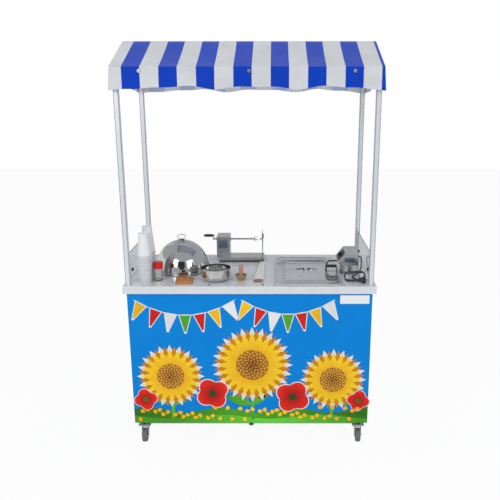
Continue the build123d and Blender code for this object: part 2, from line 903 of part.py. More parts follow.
def dome_lid():
    """The spun steel lid with its rolled rim."""
    outside = dome_profile(dome_radius - dome_roll, dome_height - dome_roll, dome_roll)
    inside = dome_profile(dome_radius - dome_roll - dome_wall, dome_height - dome_roll - dome_wall, dome_roll)
    rim = [(dome_radius - dome_roll - dome_wall, 0), (dome_radius, 0), (dome_radius, dome_roll)]
    return turned(rim + outside + inside[::-1], round_sides, (steamer_x, steamer_y, flange_seat))


dome_top = flange_seat + dome_height


def dome_handle():
    """The bowed strap handle on top of the lid."""
    half = dome_handle_width / 2
    gauge = dome_handle_gauge
    foot = dome_handle_foot
    low = dome_top
    high = dome_top + dome_handle_height
    outer = [
        (foot - half, low), (-half, high - 2 * foot / 3), (gauge - half, high - gauge), (2 * gauge - half, high),
    ]
    inner = [
        (foot - half + gauge, low + gauge), (gauge - half, high - foot), (2.4 * gauge - half, high - gauge),
    ]
    right = [(-x, z) for x, z in outer][::-1]
    right_inner = [(-x, z) for x, z in inner]
    points = outer + right + right_inner + [(x, z) for x, z in inner][::-1]
    strap = front_shape(points, -dome_handle_strap / 2, dome_handle_strap / 2)
    base = block(foot - half, half - foot, -dome_handle_strap / 2, dome_handle_strap / 2, low, low + gauge)
    return Pos(steamer_x, steamer_y, 0) * (strap + base)


def fryer_tank():
    """The drop-in tank with rounded corners and a flange on the counter."""
    body = extrude(RectangleRounded(tank_length, tank_width, tank_corner), -tank_depth)
    flange = extrude(RectangleRounded(tank_flange_length, tank_flange_width, flange_corner), tank_flange)
    bore = RectangleRounded(tank_length - 2 * tank_wall, tank_width - 2 * tank_wall, tank_corner - tank_wall)
    hollow = Pos(0, 0, tank_wall - tank_depth) * extrude(bore, tank_depth + tank_flange)
    return Pos(tank_x, tank_y, top_height) * (body + flange - hollow)


lid_seat = top_height + tank_flange + lift_gap
lid_top = lid_seat + lid_skirt + lid_thickness


def tank_lid():
    """The pressed lid: a skirt, a raised field and a lens-shaped recess with a bridge handle."""
    wall = lid_thickness
    raised = lid_top + lid_raise
    lid = Pos(0, 0, lid_seat) * extrude(
        RectangleRounded(tank_flange_length, tank_flange_width, flange_corner), lid_top - lid_seat)
    field = Rectangle(lid_panel_length, lid_panel_width)
    lid += Pos(0, lid_panel_shift, lid_top) * extrude(field, lid_raise, taper=30)
    inner = Pos(0, 0, lid_seat) * extrude(RectangleRounded(
        tank_flange_length - 2 * wall, tank_flange_width - 2 * wall, flange_corner - wall), lid_skirt)
    inner_field = Rectangle(lid_panel_length - 2 * wall, lid_panel_width - 2 * wall)
    inner += Pos(0, lid_panel_shift, lid_seat + lid_skirt) * extrude(inner_field, lid_raise, taper=30)
    floor = raised - lid_recess_depth
    lens = lens_shape(lid_recess_length, lid_recess_width)
    cup = lens_shape(lid_recess_length + 2 * wall, lid_recess_width + 2 * wall)
    lid = lid - inner + Pos(0, 0, floor - wall) * extrude(cup, lid_recess_depth + wall / 2)
    lid -= Pos(0, 0, floor) * extrude(lens, 2 * lid_recess_depth)
    reach = lid_recess_width / 2 + wall / 2
    lid += block(-lid_bridge_width / 2, lid_bridge_width / 2, -reach, reach,
                 raised - lid_bridge_thickness, raised)
    return Pos(tank_x, tank_y, 0) * lid


def lens_shape(length, width):
    """A pointed oval drawn with two arcs."""
    front = ThreePointArc((-length / 2, 0), (0, -width / 2), (length / 2, 0))
    back = ThreePointArc((length / 2, 0), (0, width / 2), (-length / 2, 0))
    return make_face([front, back])


def basket_handle():
    """The folded basket handle that lies on the lid: wire feet, an arched bar and a grip."""
    x, y = tank_x + basket_foot[0], tank_y + basket_foot[1]
    z = lid_top + lid_raise + seat_gap
    r = basket_wire
    wire = Rectangle(2 * r, 2 * r)
    splay, width, length = basket_splay, basket_frame_width, basket_frame_length
    feet = FilletPolyline(
        (x, y, z + r), (x - splay, y - length, z + r), (x + width - 2 * splay, y - length - splay, z + r),
        (x + width, y - basket_frame_gap, z + r), radius=basket_bend,
    )
    loop = sweep(Plane(feet @ 0, x_dir=(0, 0, 1), z_dir=feet % 0) * wire, path=feet)
    bar = Rectangle(4 * r, 4 * r)
    top = z + basket_handle_height
    arch = FilletPolyline(
        (x + splay / 2, y, z + r), (x + 1.5 * splay, y, top), (x + width + 1.5 * splay, y, top + splay),
        radius=basket_arch_bend,
    )
    tube = sweep(Plane(arch @ 0, x_dir=(0, 1, 0), z_dir=arch % 0) * bar, path=arch)
    grip = hex_x(basket_grip_radius, x, x + basket_grip_length, y, z + basket_handle_height / 2)
    return [loop + tube + grip]


rod_y = (twister_front + twister_back) / 2
base_top = top_height + twister_base_height
column_top = rod_height + column_head
blade_plate_top = rod_height + blade_plate_head
sleeve_left = column_left - sleeve_end_gap
sleeve_right = column_right + sleeve_end_gap


def twister_base():
    """The folded channel that carries the column and the blade plate."""
    wall = twister_sheet
    channel = block(twister_left, twister_right, twister_front, twister_back, top_height, base_top)
    return channel - block(twister_left - wall, twister_right + wall, twister_front + wall,
                           twister_back - wall, top_height - wall, base_top - wall)


def twister_column():
    """The folded housing of the feed, bored for the drive sleeve."""
    wall = twister_sheet
    outer = block(column_left, column_right, twister_front, twister_back, base_top, column_top)
    outer = chamfer(outer.edges().filter_by(Axis.Z), wall)
    column = outer - block(column_left + wall, column_right - wall, twister_front + wall,
                           twister_back - wall, base_top - wall, column_top - wall)
    column += hex_x(sleeve_radius + 2 * wall, column_left, column_right, rod_y, rod_height, small_sides)
    return column - bar_x(sleeve_radius + running_clearance, column_left - wall, column_right + wall, rod_y, rod_height)


def drive_sleeve():
    """The collared sleeve that turns in the column and lets the square rod slide through."""
    collar = sleeve_collar
    sleeve = bar_x(sleeve_radius, sleeve_left - collar, sleeve_right + collar, rod_y, rod_height)
    sleeve += hex_x(sleeve_collar_radius, sleeve_left - collar, sleeve_left, rod_y, rod_height, small_sides)
    sleeve += hex_x(sleeve_collar_radius, sleeve_right, sleeve_right + collar, rod_y, rod_height, small_sides)
    half = rod_side / 2 + rod_clearance
    return sleeve - block(sleeve_left - 2 * collar, sleeve_right + 2 * collar,
                          rod_y - half, rod_y + half, rod_height - half, rod_height + half)


def crank_end():
    """Where the crank pin sits, round the rod's axis."""
    lean = radians(crank_lean)
    return rod_y + crank_arm * sin(lean), rod_height + crank_arm * cos(lean)


def feed_rod():
    """The square rod with the hub and prongs that hold the potato."""
    half = rod_side / 2
    rod = block(crank_x, rod_end, rod_y - half, rod_y + half, rod_height - half, rod_height + half)
    rod += hex_x(prong_hub_radius, rod_end - prong_hub, rod_end, rod_y, rod_height, small_sides)
    for i in range(prong_count):
        turn = 2 * pi * i / prong_count + pi / 2
        y, z = rod_y + prong_circle * cos(turn), rod_height + prong_circle * sin(turn)
        prong = Plane((rod_end, y, z), z_dir=(1, 0, 0)) * extrude(RegularPolygon(prong_radius, 6), prong_length)
        rod += prong
    return rod


def crank():
    """The flat crank arm with the pin that its grip turns on."""
    end_y, end_z = crank_end()
    thick = crank_thickness
    lean = radians(crank_lean)
    wide_y, wide_z = crank_width / 2 * cos(lean), -crank_width / 2 * sin(lean)
    arm = side_shape([
        (rod_y + wide_y, rod_height + wide_z), (end_y + wide_y, end_z + wide_z),
        (end_y - wide_y, end_z - wide_z), (rod_y - wide_y, rod_height - wide_z),
    ], crank_x - thick, crank_x)
    arm += hex_x(crank_width / 2, crank_x - thick, crank_x, rod_y, rod_height, small_sides)
    arm += hex_x(crank_width / 2, crank_x - thick, crank_x, end_y, end_z, small_sides)
    pin_end = crank_x - thick - grip_gap - grip_length - grip_gap
    arm += bar_x(grip_pin_radius, pin_end, crank_x - thick, end_y, end_z)
    return arm + hex_x(grip_end_radius - 1, pin_end - grip_gap, pin_end, end_y, end_z)


def crank_grip():
    """The turning grip, thicker towards the arm."""
    end_y, end_z = crank_end()
    start = crank_x - crank_thickness - grip_gap
    profile = [
        (0, 0), (grip_end_radius, 0), (grip_radius, grip_length / 4),
        (grip_radius, 3 * grip_length / 4), (grip_end_radius, grip_length), (0, grip_length),
    ]
    body = Pos(start, end_y, end_z) * Rot(0, -90, 0) * turned(profile, small_sides, (0, 0, 0))
    return body - bar_x(grip_pin_radius + running_clearance, start - 2 * grip_length, start + grip_length, end_y, end_z)


def blade_plate():
    """The upright plate with the round opening that the potato is turned through."""
    low, high = blade_foot_width / 2, blade_top_width / 2
    x1 = blade_x + blade_sheet
    plate = side_shape([
        (rod_y - low, base_top), (rod_y + low, base_top), (rod_y + low, base_top + low),
        (rod_y + high, blade_plate_top), (rod_y - high, blade_plate_top), (rod_y - low, base_top + low),
    ], blade_x, x1)
    return plate - hex_x(blade_opening, blade_x - blade_sheet, x1 + blade_sheet, rod_y, rod_height, round_sides)


def twister_blade():
    """The spiral blade: a corer tube with a radial edge set at the pitch of the cut."""
    face = blade_x + blade_sheet
    rim_end = face + blade_rim_sheet
    tube = hex_x(corer_radius, face - corer_length, rim_end, rod_y, rod_height, small_sides)
    edge_top = blade_opening - blade_clearance
    edge = Box(blade_depth, blade_thickness, edge_top - corer_bore)
    edge = Pos(face, rod_y, rod_height + (edge_top + corer_bore) / 2) * Rot(0, 0, blade_pitch) * edge
    rim = hex_x(blade_opening + blade_rim, face, rim_end, rod_y, rod_height, round_sides)
    rim -= hex_x(blade_opening - blade_thickness, face, rim_end, rod_y, rod_height, round_sides)
    blade = tube + edge + rim
    return blade - hex_x(corer_bore, face - 2 * corer_length, rim_end, rod_y, rod_height, small_sides)


head_shoulder = head_left + head_slope
head_slope_bottom = head_bottom + head_lip
slope_rise = head_top - head_slope_bottom
slope_length = hypot(head_slope, slope_rise)
slope_normal = Vector(-slope_rise / slope_length, 0, head_slope / slope_length)
slope_middle = Vector((head_left + head_shoulder) / 2, (head_front + head_back) / 2,
                      (head_slope_bottom + head_top) / 2)
slope_plane = Plane(slope_middle, x_dir=(0, -1, 0), z_dir=slope_normal)


def electric_head():
    """The head box with its sloped face, standing on its round drum."""
    box = front_shape([
        (head_left + head_undercut, head_bottom), (head_right, head_bottom), (head_right, head_top),
        (head_shoulder, head_top), (head_left, head_slope_bottom),
    ], head_front, head_back)
    drum = Pos(drum_x, drum_y, top_height) * extrude(RegularPolygon(drum_radius, round_sides), drum_height)
    head = box + drum
    shaft = slope_plane * Cylinder(dial_shaft_radius + running_clearance, 4 * dial_shaft_length)
    return head - shaft


def dial_panel():
    """The dark panel on the sloped face, with the hole for the dial's shaft."""
    plate = extrude(Rectangle(panel_plate_width, panel_plate_height), panel_plate)
    hole = extrude(RegularPolygon(2 * dial_shaft_radius, small_sides), 2 * panel_plate, both=True)
    return slope_plane * (plate - hole)


def head_dial():
    """The dial: a ribbed knob with a grip bar, on its shaft."""
    low = panel_plate + dial_gap
    knob = Pos(0, 0, low) * extrude(RegularPolygon(dial_radius, dial_sides), dial_height / 3)
    knob += Pos(0, 0, low) * extrude(Rectangle(2 * (dial_radius - dial_rim), dial_grip_width), dial_height)
    knob += Pos(0, 0, low - dial_shaft_length / 2) * Cylinder(dial_shaft_radius, dial_shaft_length)
    return slope_plane * knob


gland_tip = head_right + gland_length


def cord_gland():
    """The tapered strain relief on the right of the head."""
    profile = [(0, 0), (gland_radius, 0), (gland_radius, gland_length / 4), (gland_tip_radius, gland_length), (0, gland_length)]
    return Pos(head_right, gland_y, gland_z) * Rot(0, 90, 0) * turned(profile, small_sides, (0, 0, 0))


def rounded_path(points):
    """Straight runs joined by the largest arcs that two neighbours leave room for."""
    vectors = [Vector(*p) for p in points]
    radii = []
    for i in range(1, len(points) - 1):
        before, after = vectors[i] - vectors[i - 1], vectors[i + 1] - vectors[i]
        half_turn = radians(before.get_angle(after)) / 2
        radii.append(0.45 * min(before.length, after.length) / tan(half_turn))
    print("cord radii", [round(r, 1) for r in radii])
    return FilletPolyline(*points, radius=radii)


def cord_along(path):
    """The cord's tube along a path, with its volume compared with section times length."""
    section = Plane(path @ 0, z_dir=path % 0) * RegularPolygon(cord_radius, cord_sides)
    tube = sweep(section, path=path)
    print("cord length", round(path.length, 1), "volume ratio", round(tube.volume / (section.area * path.length), 4))
    return tube


def power_cord():
    """The free stretches: from the gland down to the hank, and from the hank to the plug."""
    x, y = gland_tip, gland_y
    down = rounded_path([
        (x, y, gland_z), (x + 11, y, gland_z), (x + 12, y - 6, gland_z - 15), (x + 10, y - 25, gland_z - 40),
        (x + 4, y - 48, gland_z - 58), (x - 8, y - 74, hank_bottom + 6), (x - 26, y - 92, hank_bottom + 1),
        (x - 45, y - 108, hank_bottom), (x - 53, y - 130, hank_bottom), (x - 47, y - 154, hank_bottom),
        (hank_start - 18, hank_y + 8, hank_bottom), (hank_start - 8, hank_y, hank_bottom),
        (hank_start, hank_y, hank_bottom),
    ])
    x, y = hank_end, hank_y - hank_loops * hank_pitch
    axis = top_height + plug_radius + seat_gap
    tail = rounded_path([
        (x, y, hank_bottom), (x + 10, y, hank_bottom), (x + 19, y - 10, hank_bottom + 3),
        (x + 25, y - 22, axis - 2), (x + 33, y - 26, axis), (x + 41, y - 26, axis),
    ])
    return [cord_along(down), cord_along(tail)], tail


def cord_hank():
    """The rest of the cord, folded back and forth in upright loops as one unbroken tube.

    Each loop crosses over to the next along its top run, so that all its bends stay upright.
    """
    low, high = hank_bottom, hank_bottom + hank_height
    cross_start, cross_end = hank_right - hank_cross_gap, hank_left + hank_cross_gap
    points, radii = [(hank_start, hank_y, low)], []
    for i in range(hank_loops):
        y = hank_y - i * hank_pitch
        points += [
            (hank_right, y, low), (hank_right, y, high), (cross_start, y, high),
            (cross_end, y - hank_pitch, high), (hank_left, y - hank_pitch, high), (hank_left, y - hank_pitch, low),
        ]
        radii += [hank_bend, hank_bend, hank_cross_bend, hank_cross_bend, hank_bend, hank_bend]
    points.append((hank_end, hank_y - hank_loops * hank_pitch, low))
    path = FilletPolyline(*points, radius=radii)
    steps = int(path.length / cord_radius)
    marks = [path @ (i / steps) for i in range(steps + 1)]
    apart = 4 * int(hank_bend / cord_radius)
    least = min((marks[i] - marks[j]).length for i in range(steps) for j in range(i + apart, steps + 1))
    print("hank least gap", round(least - hank_side, 2), "length", round(path.length, 1))
    section = Plane(path @ 0, x_dir=(0, 1, 0), z_dir=path % 0) * Rectangle(hank_side, hank_side)
    return sweep(section, path=path)


def plug(tail):
    """The moulded plug with its two pins, on the end of the cord."""
    profile = [
        (0, 0), (plug_radius / 2, 0), (0.8 * plug_radius, plug_length / 4), (plug_radius, plug_length / 2),
        (plug_radius, plug_length), (0, plug_length),
    ]
    body = turned(profile, small_sides, (0, 0, 0))
    for sign in (-1, 1):
        body += Pos(sign * plug_pin_spacing / 2, 0, plug_length) * extrude(RegularPolygon(plug_pin_radius, 8), plug_pin_length)
    return Plane(tail @ 1, x_dir=(0, 1, 0), z_dir=tail % 1) * body


def cup_stack(from_left, from_front, height):
    """Nested cups, mouths down: one rim band for each cup and the top cup's body."""
    profile = [(0, 0)]
    spread = (cup_rim_radius - cup_foot_radius) / (cup_rims - 1)
    for i in range(cup_rims):
        radius, z = cup_foot_radius + i * spread, i * cup_rim_pitch
        profile += [(radius, z), (radius - cup_groove, z + cup_rim_pitch)]
    profile += [(cup_top_radius, height), (0, height)]
    return turned(profile, cup_sides, (from_left - top_x, from_front - top_y, top_height + lift_gap))


jar_base = top_height + lift_gap
jar_place = (jar_from_left - top_x, jar_from_front - top_y)
pestle_bowl_place = (counter_x(pestle_bowl_share), pestle_bowl_from_front - top_y)


def jar():
    """The clear jar with its neck."""
    r, neck, wall = jar_radius, jar_neck_radius, jar_wall
    high = jar_height + jar_neck_height
    profile = [
        (0, 0), (r, 0), (r, jar_height - wall), (neck, jar_height), (neck, high), (neck - wall, high),
        (neck - wall, jar_height - wall), (r - wall, jar_height - 2 * wall), (r - wall, wall), (0, wall),
    ]
    return turned(profile, jar_sides, (*jar_place, jar_base))


def jar_cap():
    """The red cap, open below, over the jar's neck."""
    inner = jar_neck_radius + cap_clearance
    roof = jar_neck_height + cap_clearance
    profile = [
        (inner, 0), (cap_radius, 0), (cap_radius, cap_height - cap_wall), (cap_radius - cap_wall, cap_height),
        (0, cap_height), (0, roof), (inner, roof),
    ]
    return turned(profile, jar_sides, (*jar_place, jar_base + jar_height + cap_clearance))


def sponge():
    """A cut sponge block with softened edges, turned a little on the counter."""
    block_shape = Box(sponge_length, sponge_width, sponge_height)
    block_shape = chamfer(block_shape.edges(), sponge_height / 8)
    x, y = counter_x(sponge_share), sponge_from_front - top_y
    return Pos(x, y, top_height + lift_gap + sponge_height / 2) * Rot(0, 0, sponge_turn) * block_shape


def mixing_bowl():
    """The spun steel bowl: steep walls on a rounded foot."""
    outside, inside = [], []
    for i in range(bowl_bands + 1):
        turn = pi / 2 * i / bowl_bands
        radius = bowl_foot_radius + (bowl_radius - bowl_foot_radius) * sin(turn)
        z = bowl_height / 2 * (1 - cos(turn))
        outside.append((radius, z))
        inside.append((radius - bowl_wall, z + bowl_wall))
    outside = [(0, 0)] + outside + [(bowl_radius, bowl_height)]
    inside = [(0, bowl_wall)] + inside + [(bowl_radius - bowl_wall, bowl_height)]
    place = (counter_x(bowl_share), bowl_from_front - top_y, top_height + lift_gap)
    return turned(outside + inside[::-1], round_sides, place)


def pestle_bowl():
    """The little wooden bowl."""
    wall = pestle_bowl_wall
    rim, foot, high = pestle_bowl_radius, pestle_bowl_foot, pestle_bowl_height
    profile = [
        (0, 0), (foot, 0), (foot, wall), (rim, high), (rim - wall, high), (foot - wall / 2, 2 * wall), (0, 2 * wall),
    ]
    return turned(profile, jar_sides, (*pestle_bowl_place, top_height + lift_gap))


def pestle():
    """The round wooden pestle that stands in the bowl."""
    r, high = pestle_radius, pestle_height
    profile = [(0, 0), (r, 0), (r, high - r / 2), (r / 2, high), (0, high)]
    base = top_height + 2 * lift_gap + 2 * pestle_bowl_wall
    return turned(profile, small_sides, (*pestle_bowl_place, base))


def skewers():
    """The bundle of wooden skewers, in two layers, lying from front to back."""
    x0, y0 = counter_x(skewer_front_share), skewer_from_front - top_y
    x1, y1 = counter_x(skewer_back_share), twister_front - skewer_from_twister
    sticks = []
    for layer, count in enumerate(skewer_rows):
        z = top_height + lift_gap + skewer_diameter * (0.5 + layer) + layer * lift_gap
        for i in range(count):
            shift = (i - (count - 1) / 2) * (skewer_diameter + skewer_gap)
            start = Vector(x0 + shift, y0, z)
            run = Vector(x1 + shift / 2, y1, z) - start
            stick = extrude(RegularPolygon(skewer_diameter / 2, 6), run.length)
            sticks.append(Plane(start, x_dir=(0, 0, 1), z_dir=run) * stick)
    return sticks


def tongs():
    """The sprung tongs: two long bent leaves joined at the bow."""
    z0 = lid_top + lid_raise + lift_gap
    z1 = z0 + tongs_spread
    middle = (z0 + z1) / 2
    t, bend, tip = tongs_sheet, tongs_spread, tongs_tip
    left = tank_x - tongs_from_tank
    right = left + tongs_length
    y = tank_y + tongs_behind_tank
    lower = [(right, z0 + tip), (left + bend, z0), (left, middle - tongs_bow)]
    upper = [(left, middle + tongs_bow), (left + bend, z1), (right, z1 - tip)]
    inner_upper = [(right, z1 - tip - t), (left + bend, z1 - t), (left + t, middle + tongs_bow - t / 2)]
    inner_lower = [(left + t, middle - tongs_bow + t / 2), (left + bend, z0 + t), (right, z0 + tip + t)]
    return front_shape(lower + upper + inner_upper + inner_lower, y - tongs_width / 2, y + tongs_width / 2)


os.makedirs("parts", exist_ok=True)

save("base_frame", base_frame())
save("caster_plates", *caster_plates())
for corner, sx, sy in (("front_left", -1, -1), ("front_right", 1, -1), ("rear_left", -1, 1), ("rear_right", 1, 1)):
    save(f"caster_fork_{corner}", caster_fork(sx * caster_x, sy * caster_y))
    save(f"caster_wheel_{corner}", caster_wheel(sx * caster_x, sy * caster_y))
save("cabinet_floor", cabinet_floor())
save("front_panel", front_panel())
save("right_panel", side_panel())
save("left_panel", mirrored_x(side_panel()))
save("rear_frame", rear_frame())
save("hinge_knuckles", *hinge_knuckles())
save("right_door", door())
save("left_door", mirrored_x(door()))
save("right_door_pull", door_pull())
save("left_door_pull", mirrored_x(door_pull()))
save("worktop", worktop())
save("canopy_posts", *canopy_posts())
save("post_spigots", *post_spigots())
save("roof_frame", roof_frame())
save("canopy_cover", canopy_cover())
save("cover_screws", *cover_screws())
save("right_glass", glass())
save("left_glass", mirrored_x(glass()))
save("glass_clips", *glass_clips())
save("steamer_pot", steamer_pot())
save("steam_rack", steam_rack())
save("pot_heater", pot_heater())
save("dome_lid", dome_lid())
save("dome_handle", dome_handle())
save("fryer_tank", fryer_tank())
save("tank_lid", tank_lid())
save("basket_handle", *basket_handle())
save("twister_base", twister_base())
save("twister_column", twister_column())
save("drive_sleeve", drive_sleeve())
save("feed_rod", feed_rod())
save("crank", crank())
save("crank_grip", crank_grip())
save("blade_plate", blade_plate())
save("twister_blade", twister_blade())
save("electric_head", electric_head())
save("dial_panel", dial_panel())
save("head_dial", head_dial())
save("cord_gland", cord_gland())
cord_runs, cord_tail = power_cord()
save("power_cord", *cord_runs)
save("cord_hank", cord_hank())
save("plug", plug(cord_tail))
save("front_cups", cup_stack(front_cups_from_left, front_cups_from_front, front_cups_height))
save("rear_cups", cup_stack(rear_cups_from_left, rear_cups_from_front, rear_cups_height))
save("jar", jar(), jar_cap())
save("sponge", sponge())
save("mixing_bowl", mixing_bowl())
save("pestle_bowl", pestle_bowl(), pestle())
save("skewers", *skewers())
save("tongs", tongs())
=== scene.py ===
"""Looks for a market food cart: striped canopy, steel worktop, steamer, fryer tank and potato twister."""

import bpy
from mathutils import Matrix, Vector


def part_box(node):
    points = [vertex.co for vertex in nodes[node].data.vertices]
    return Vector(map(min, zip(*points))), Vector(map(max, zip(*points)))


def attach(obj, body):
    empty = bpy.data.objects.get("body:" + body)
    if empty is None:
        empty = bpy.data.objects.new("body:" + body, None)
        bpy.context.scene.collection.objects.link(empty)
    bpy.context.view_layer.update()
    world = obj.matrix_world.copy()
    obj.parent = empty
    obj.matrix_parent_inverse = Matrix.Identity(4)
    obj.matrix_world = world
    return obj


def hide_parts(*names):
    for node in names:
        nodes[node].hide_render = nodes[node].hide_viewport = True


bl_info = {
    "name": "Market food cart",
    "version": (1, 0, 0),
    "blender": (4, 5, 0),
    "location": "View3D > Sidebar > Food cart",
    "description": "Builds the finished surfaces and small pieces of a market food cart",
    "category": "Object",
}

from math import atan2, cos, hypot, pi, radians, sin

import bpy
from bpy.props import FloatProperty, FloatVectorProperty, IntProperty, PointerProperty

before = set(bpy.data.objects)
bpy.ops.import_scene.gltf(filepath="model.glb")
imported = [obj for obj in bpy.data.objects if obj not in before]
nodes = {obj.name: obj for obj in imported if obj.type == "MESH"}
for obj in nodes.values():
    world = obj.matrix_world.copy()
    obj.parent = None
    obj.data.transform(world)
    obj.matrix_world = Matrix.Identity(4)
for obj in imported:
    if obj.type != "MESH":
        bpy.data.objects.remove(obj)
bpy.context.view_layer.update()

COUNTER = 0.910
STEAMER = (-0.386, 0.002)
PANEL_FACE = -0.312
POST_CENTRE = (0.623, 0.296)
TINY = 1e-5


def colour_property(name, description, default):
    """A colour that the sidebar shows as a swatch."""
    return FloatVectorProperty(name=name, description=description, default=default, subtype="COLOR", size=3, min=0, max=1)


def length_property(name, description, default):
    """A length in metres."""
    return FloatProperty(name=name, description=description, default=default, unit="LENGTH", min=0)


class CartColours(bpy.types.PropertyGroup):
    """Colours that an owner would choose."""

    stripe: colour_property("Canopy stripe", "Blue stripes of the canopy cloth", (0.001, 0.046, 0.47))
    cloth: colour_property("Canopy ground", "White ground of the canopy cloth", (0.63, 0.645, 0.665))
    panel: colour_property("Panel", "Ground of the printed front panel", (0.0, 0.232, 0.69))
    petal: colour_property("Petals", "Golden petals of the printed flowers", (0.95, 0.56, 0.01))
    poppy: colour_property("Poppies", "Red of the printed poppies and flags", (0.72, 0.02, 0.012))
    leaf: colour_property("Leaves", "Green of the printed leaves", (0.07, 0.33, 0.02))
    cap: colour_property("Jar cap", "The jar's cap", (0.70, 0.006, 0.012))
    sponge: colour_property("Sponge", "The cleaning sponge", (0.55, 0.22, 0.065))


class CartSizes(bpy.types.PropertyGroup):
    """Sizes that an owner would change."""

    ridge_height: length_property("Ridge height", "Height of the canopy's ridge", 2.1145)
    eave_height: length_property("Eave height", "Height where the roof turns into the valance", 1.981)
    hem_height: length_property("Hem height", "Height of the valance's lower edge", 1.8895)
    corner_drop: length_property("Corner drop", "How far the valance's corners hang lower", 0.0165)
    half_length: length_property("Canopy half length", "Half the canopy's length along its eaves", 0.642)
    half_width: length_property("Canopy half width", "Half the canopy's width at its eaves", 0.335)
    stripe_width: length_property("Stripe width", "Width of one blue stripe", 0.0855)
    stripe_pitch: length_property("Stripe pitch", "Distance from one blue stripe to the next", 0.1737)
    stripe_start: length_property("First stripe", "Distance of the first blue stripe from the left eave end", 0.0575)
    cord_diameter: length_property("Cord diameter", "Thickness of the mains cord", 0.007)
    cup_rims: IntProperty(name="Cups", description="Cups in one stack", default=13, min=2, max=20)
    cup_pitch: length_property("Cup pitch", "Height that each nested cup adds", 0.0113)


def colours():
    """The colours in use."""
    return bpy.context.scene.cart_colours


def sizes():
    """The sizes in use."""
    return bpy.context.scene.cart_sizes


# Materials

finishes = {}


def base_material(name, colour, roughness=0.5, metallic=0.0, **sockets):
    """A material whose constants sit on the shader's own sockets."""
    material = bpy.data.materials.new(name)
    material.use_nodes = True
    shader = material.node_tree.nodes["Principled BSDF"]
    shader.inputs["Base Color"].default_value = (*colour, 1)
    shader.inputs["Roughness"].default_value = roughness
    shader.inputs["Metallic"].default_value = metallic
    for socket, value in sockets.items():
        shader.inputs[socket.replace("_", " ")].default_value = value
    material.diffuse_color = (*colour, 1)
    finishes[name] = material
    return material


def add_node(material, kind, links=None, **settings):
    """Adds a node, sets its properties and values, and links what feeds it."""
    node = material.node_tree.nodes.new(kind)
    for key, value in settings.items():
        if hasattr(node, key):
            setattr(node, key, value)
        else:
            node.inputs[key.replace("_", " ")].default_value = value
    for key, source in (links or {}).items():
        material.node_tree.links.new(source, node.inputs[key])
    return node


def shader_of(material):
    """The material's main shader."""
    return material.node_tree.nodes["Principled BSDF"]


def object_place(material, stretch=(1, 1, 1), turn=(0, 0, 0)):
    """Object coordinates, stretched and turned."""
    place = add_node(material, "ShaderNodeTexCoord")
    mapping = add_node(material, "ShaderNodeMapping", {"Vector": place.outputs["Object"]}, Scale=stretch, Rotation=turn)
    return mapping.outputs["Vector"]


def noise(material, scale, detail=3.0, stretch=(1, 1, 1), roughness=0.55):
    """A noise over the piece."""
    node = add_node(material, "ShaderNodeTexNoise", {"Vector": object_place(material, stretch)},
                    Scale=scale, Detail=detail, Roughness=roughness)
    return node.outputs["Fac"]


def spread(material, factor, low, high, start=0.3, end=0.7):
    """Maps a pattern to a range of values."""
    node = add_node(material, "ShaderNodeMapRange", {"Value": factor},
                    From_Min=start, From_Max=end, To_Min=low, To_Max=high)
    return node.outputs["Result"]


def paint(material, factor, first, second):
    """Colours the material between two colours by a pattern."""
    mix = add_node(material, "ShaderNodeMix", data_type="RGBA")
    material.node_tree.links.new(factor, mix.inputs["Factor"])
    for socket, colour in ((mix.inputs[6], first), (mix.inputs[7], second)):
        socket.default_value = (*colour, 1)
    material.node_tree.links.new(mix.outputs[2], shader_of(material).inputs["Base Color"])
    return mix


def roughen(material, factor, low, high):
    """Varies the roughness by a pattern."""
    material.node_tree.links.new(spread(material, factor, low, high), shader_of(material).inputs["Roughness"])


def emboss(material, factor, strength, distance):
    """Raises the surface by a pattern."""
    bump = add_node(material, "ShaderNodeBump", {"Height": factor}, Strength=strength, Distance=distance)
    material.node_tree.links.new(bump.outputs["Normal"], shader_of(material).inputs["Normal"])


def shade(colour, amount):
    """A colour made darker or lighter."""
    return tuple(min(1.0, c * amount) for c in colour)


def brushed_metal(name, colour, along, roughness=0.3, depth=0.12):
    """Steel with fine brush lines that run along one axis."""
    material = base_material(name, colour, roughness, 1.0)
    stretch = tuple(2.0 if axis == along else 120.0 for axis in "XYZ")
    lines = noise(material, 6.0, 2.0, stretch)
    clouds = noise(material, 9.0, 3.0)
    paint(material, spread(material, clouds, 0, 1), shade(colour, 0.9), shade(colour, 1.06))
    roughen(material, lines, roughness * 0.8, roughness * 1.35)
    emboss(material, lines, depth, 0.0004)
    return material


def mottled(name, colour, scale, change=0.1, roughness=0.5, metallic=0.0, depth=0.1, grain=300.0, **sockets):
    """A plain finish with faint clouds and a fine grain."""
    material = base_material(name, colour, roughness, metallic, **sockets)
    clouds = noise(material, scale, 4.0)
    paint(material, spread(material, clouds, 0, 1), shade(colour, 1 - change), shade(colour, 1 + change))
    roughen(material, clouds, roughness * 0.85, roughness * 1.15)
    emboss(material, noise(material, grain, 2.0), depth, 0.0003)
    return material


def cloth_material(name, colour):
    """Coated cloth: a fine plain weave, soft creases with painted shade in their hollows, and a little sheen."""
    material = base_material(name, colour, 0.55, Sheen_Weight=0.45, Sheen_Roughness=0.3, Specular_IOR_Level=0.12)
    warp = add_node(material, "ShaderNodeTexWave", {"Vector": object_place(material)}, bands_direction="X",
                    Scale=420.0, Distortion=0.4)
    weft = add_node(material, "ShaderNodeTexWave", {"Vector": object_place(material)}, bands_direction="Y",
                    Scale=420.0, Distortion=0.4)
    weave = add_node(material, "ShaderNodeMath", {0: warp.outputs["Fac"], 1: weft.outputs["Fac"]}, operation="MAXIMUM")
    crease_height_and_shade = noise(material, 7.0, 5.0, (1, 1, 2))
    height = add_node(material, "ShaderNodeMath", {0: weave.outputs[0], 2: crease_height_and_shade}, operation="MULTIPLY_ADD")
    height.inputs[1].default_value = 0.12
    # Painted shade: the cloth is coloured darker where the creases sink and lighter where they rise.
    paint(material, spread(material, crease_height_and_shade, 0, 1), shade(colour, 0.93), shade(colour, 1.05))
    roughen(material, crease_height_and_shade, 0.52, 0.72)
    emboss(material, height.outputs[0], 0.25, 0.004)
    return material


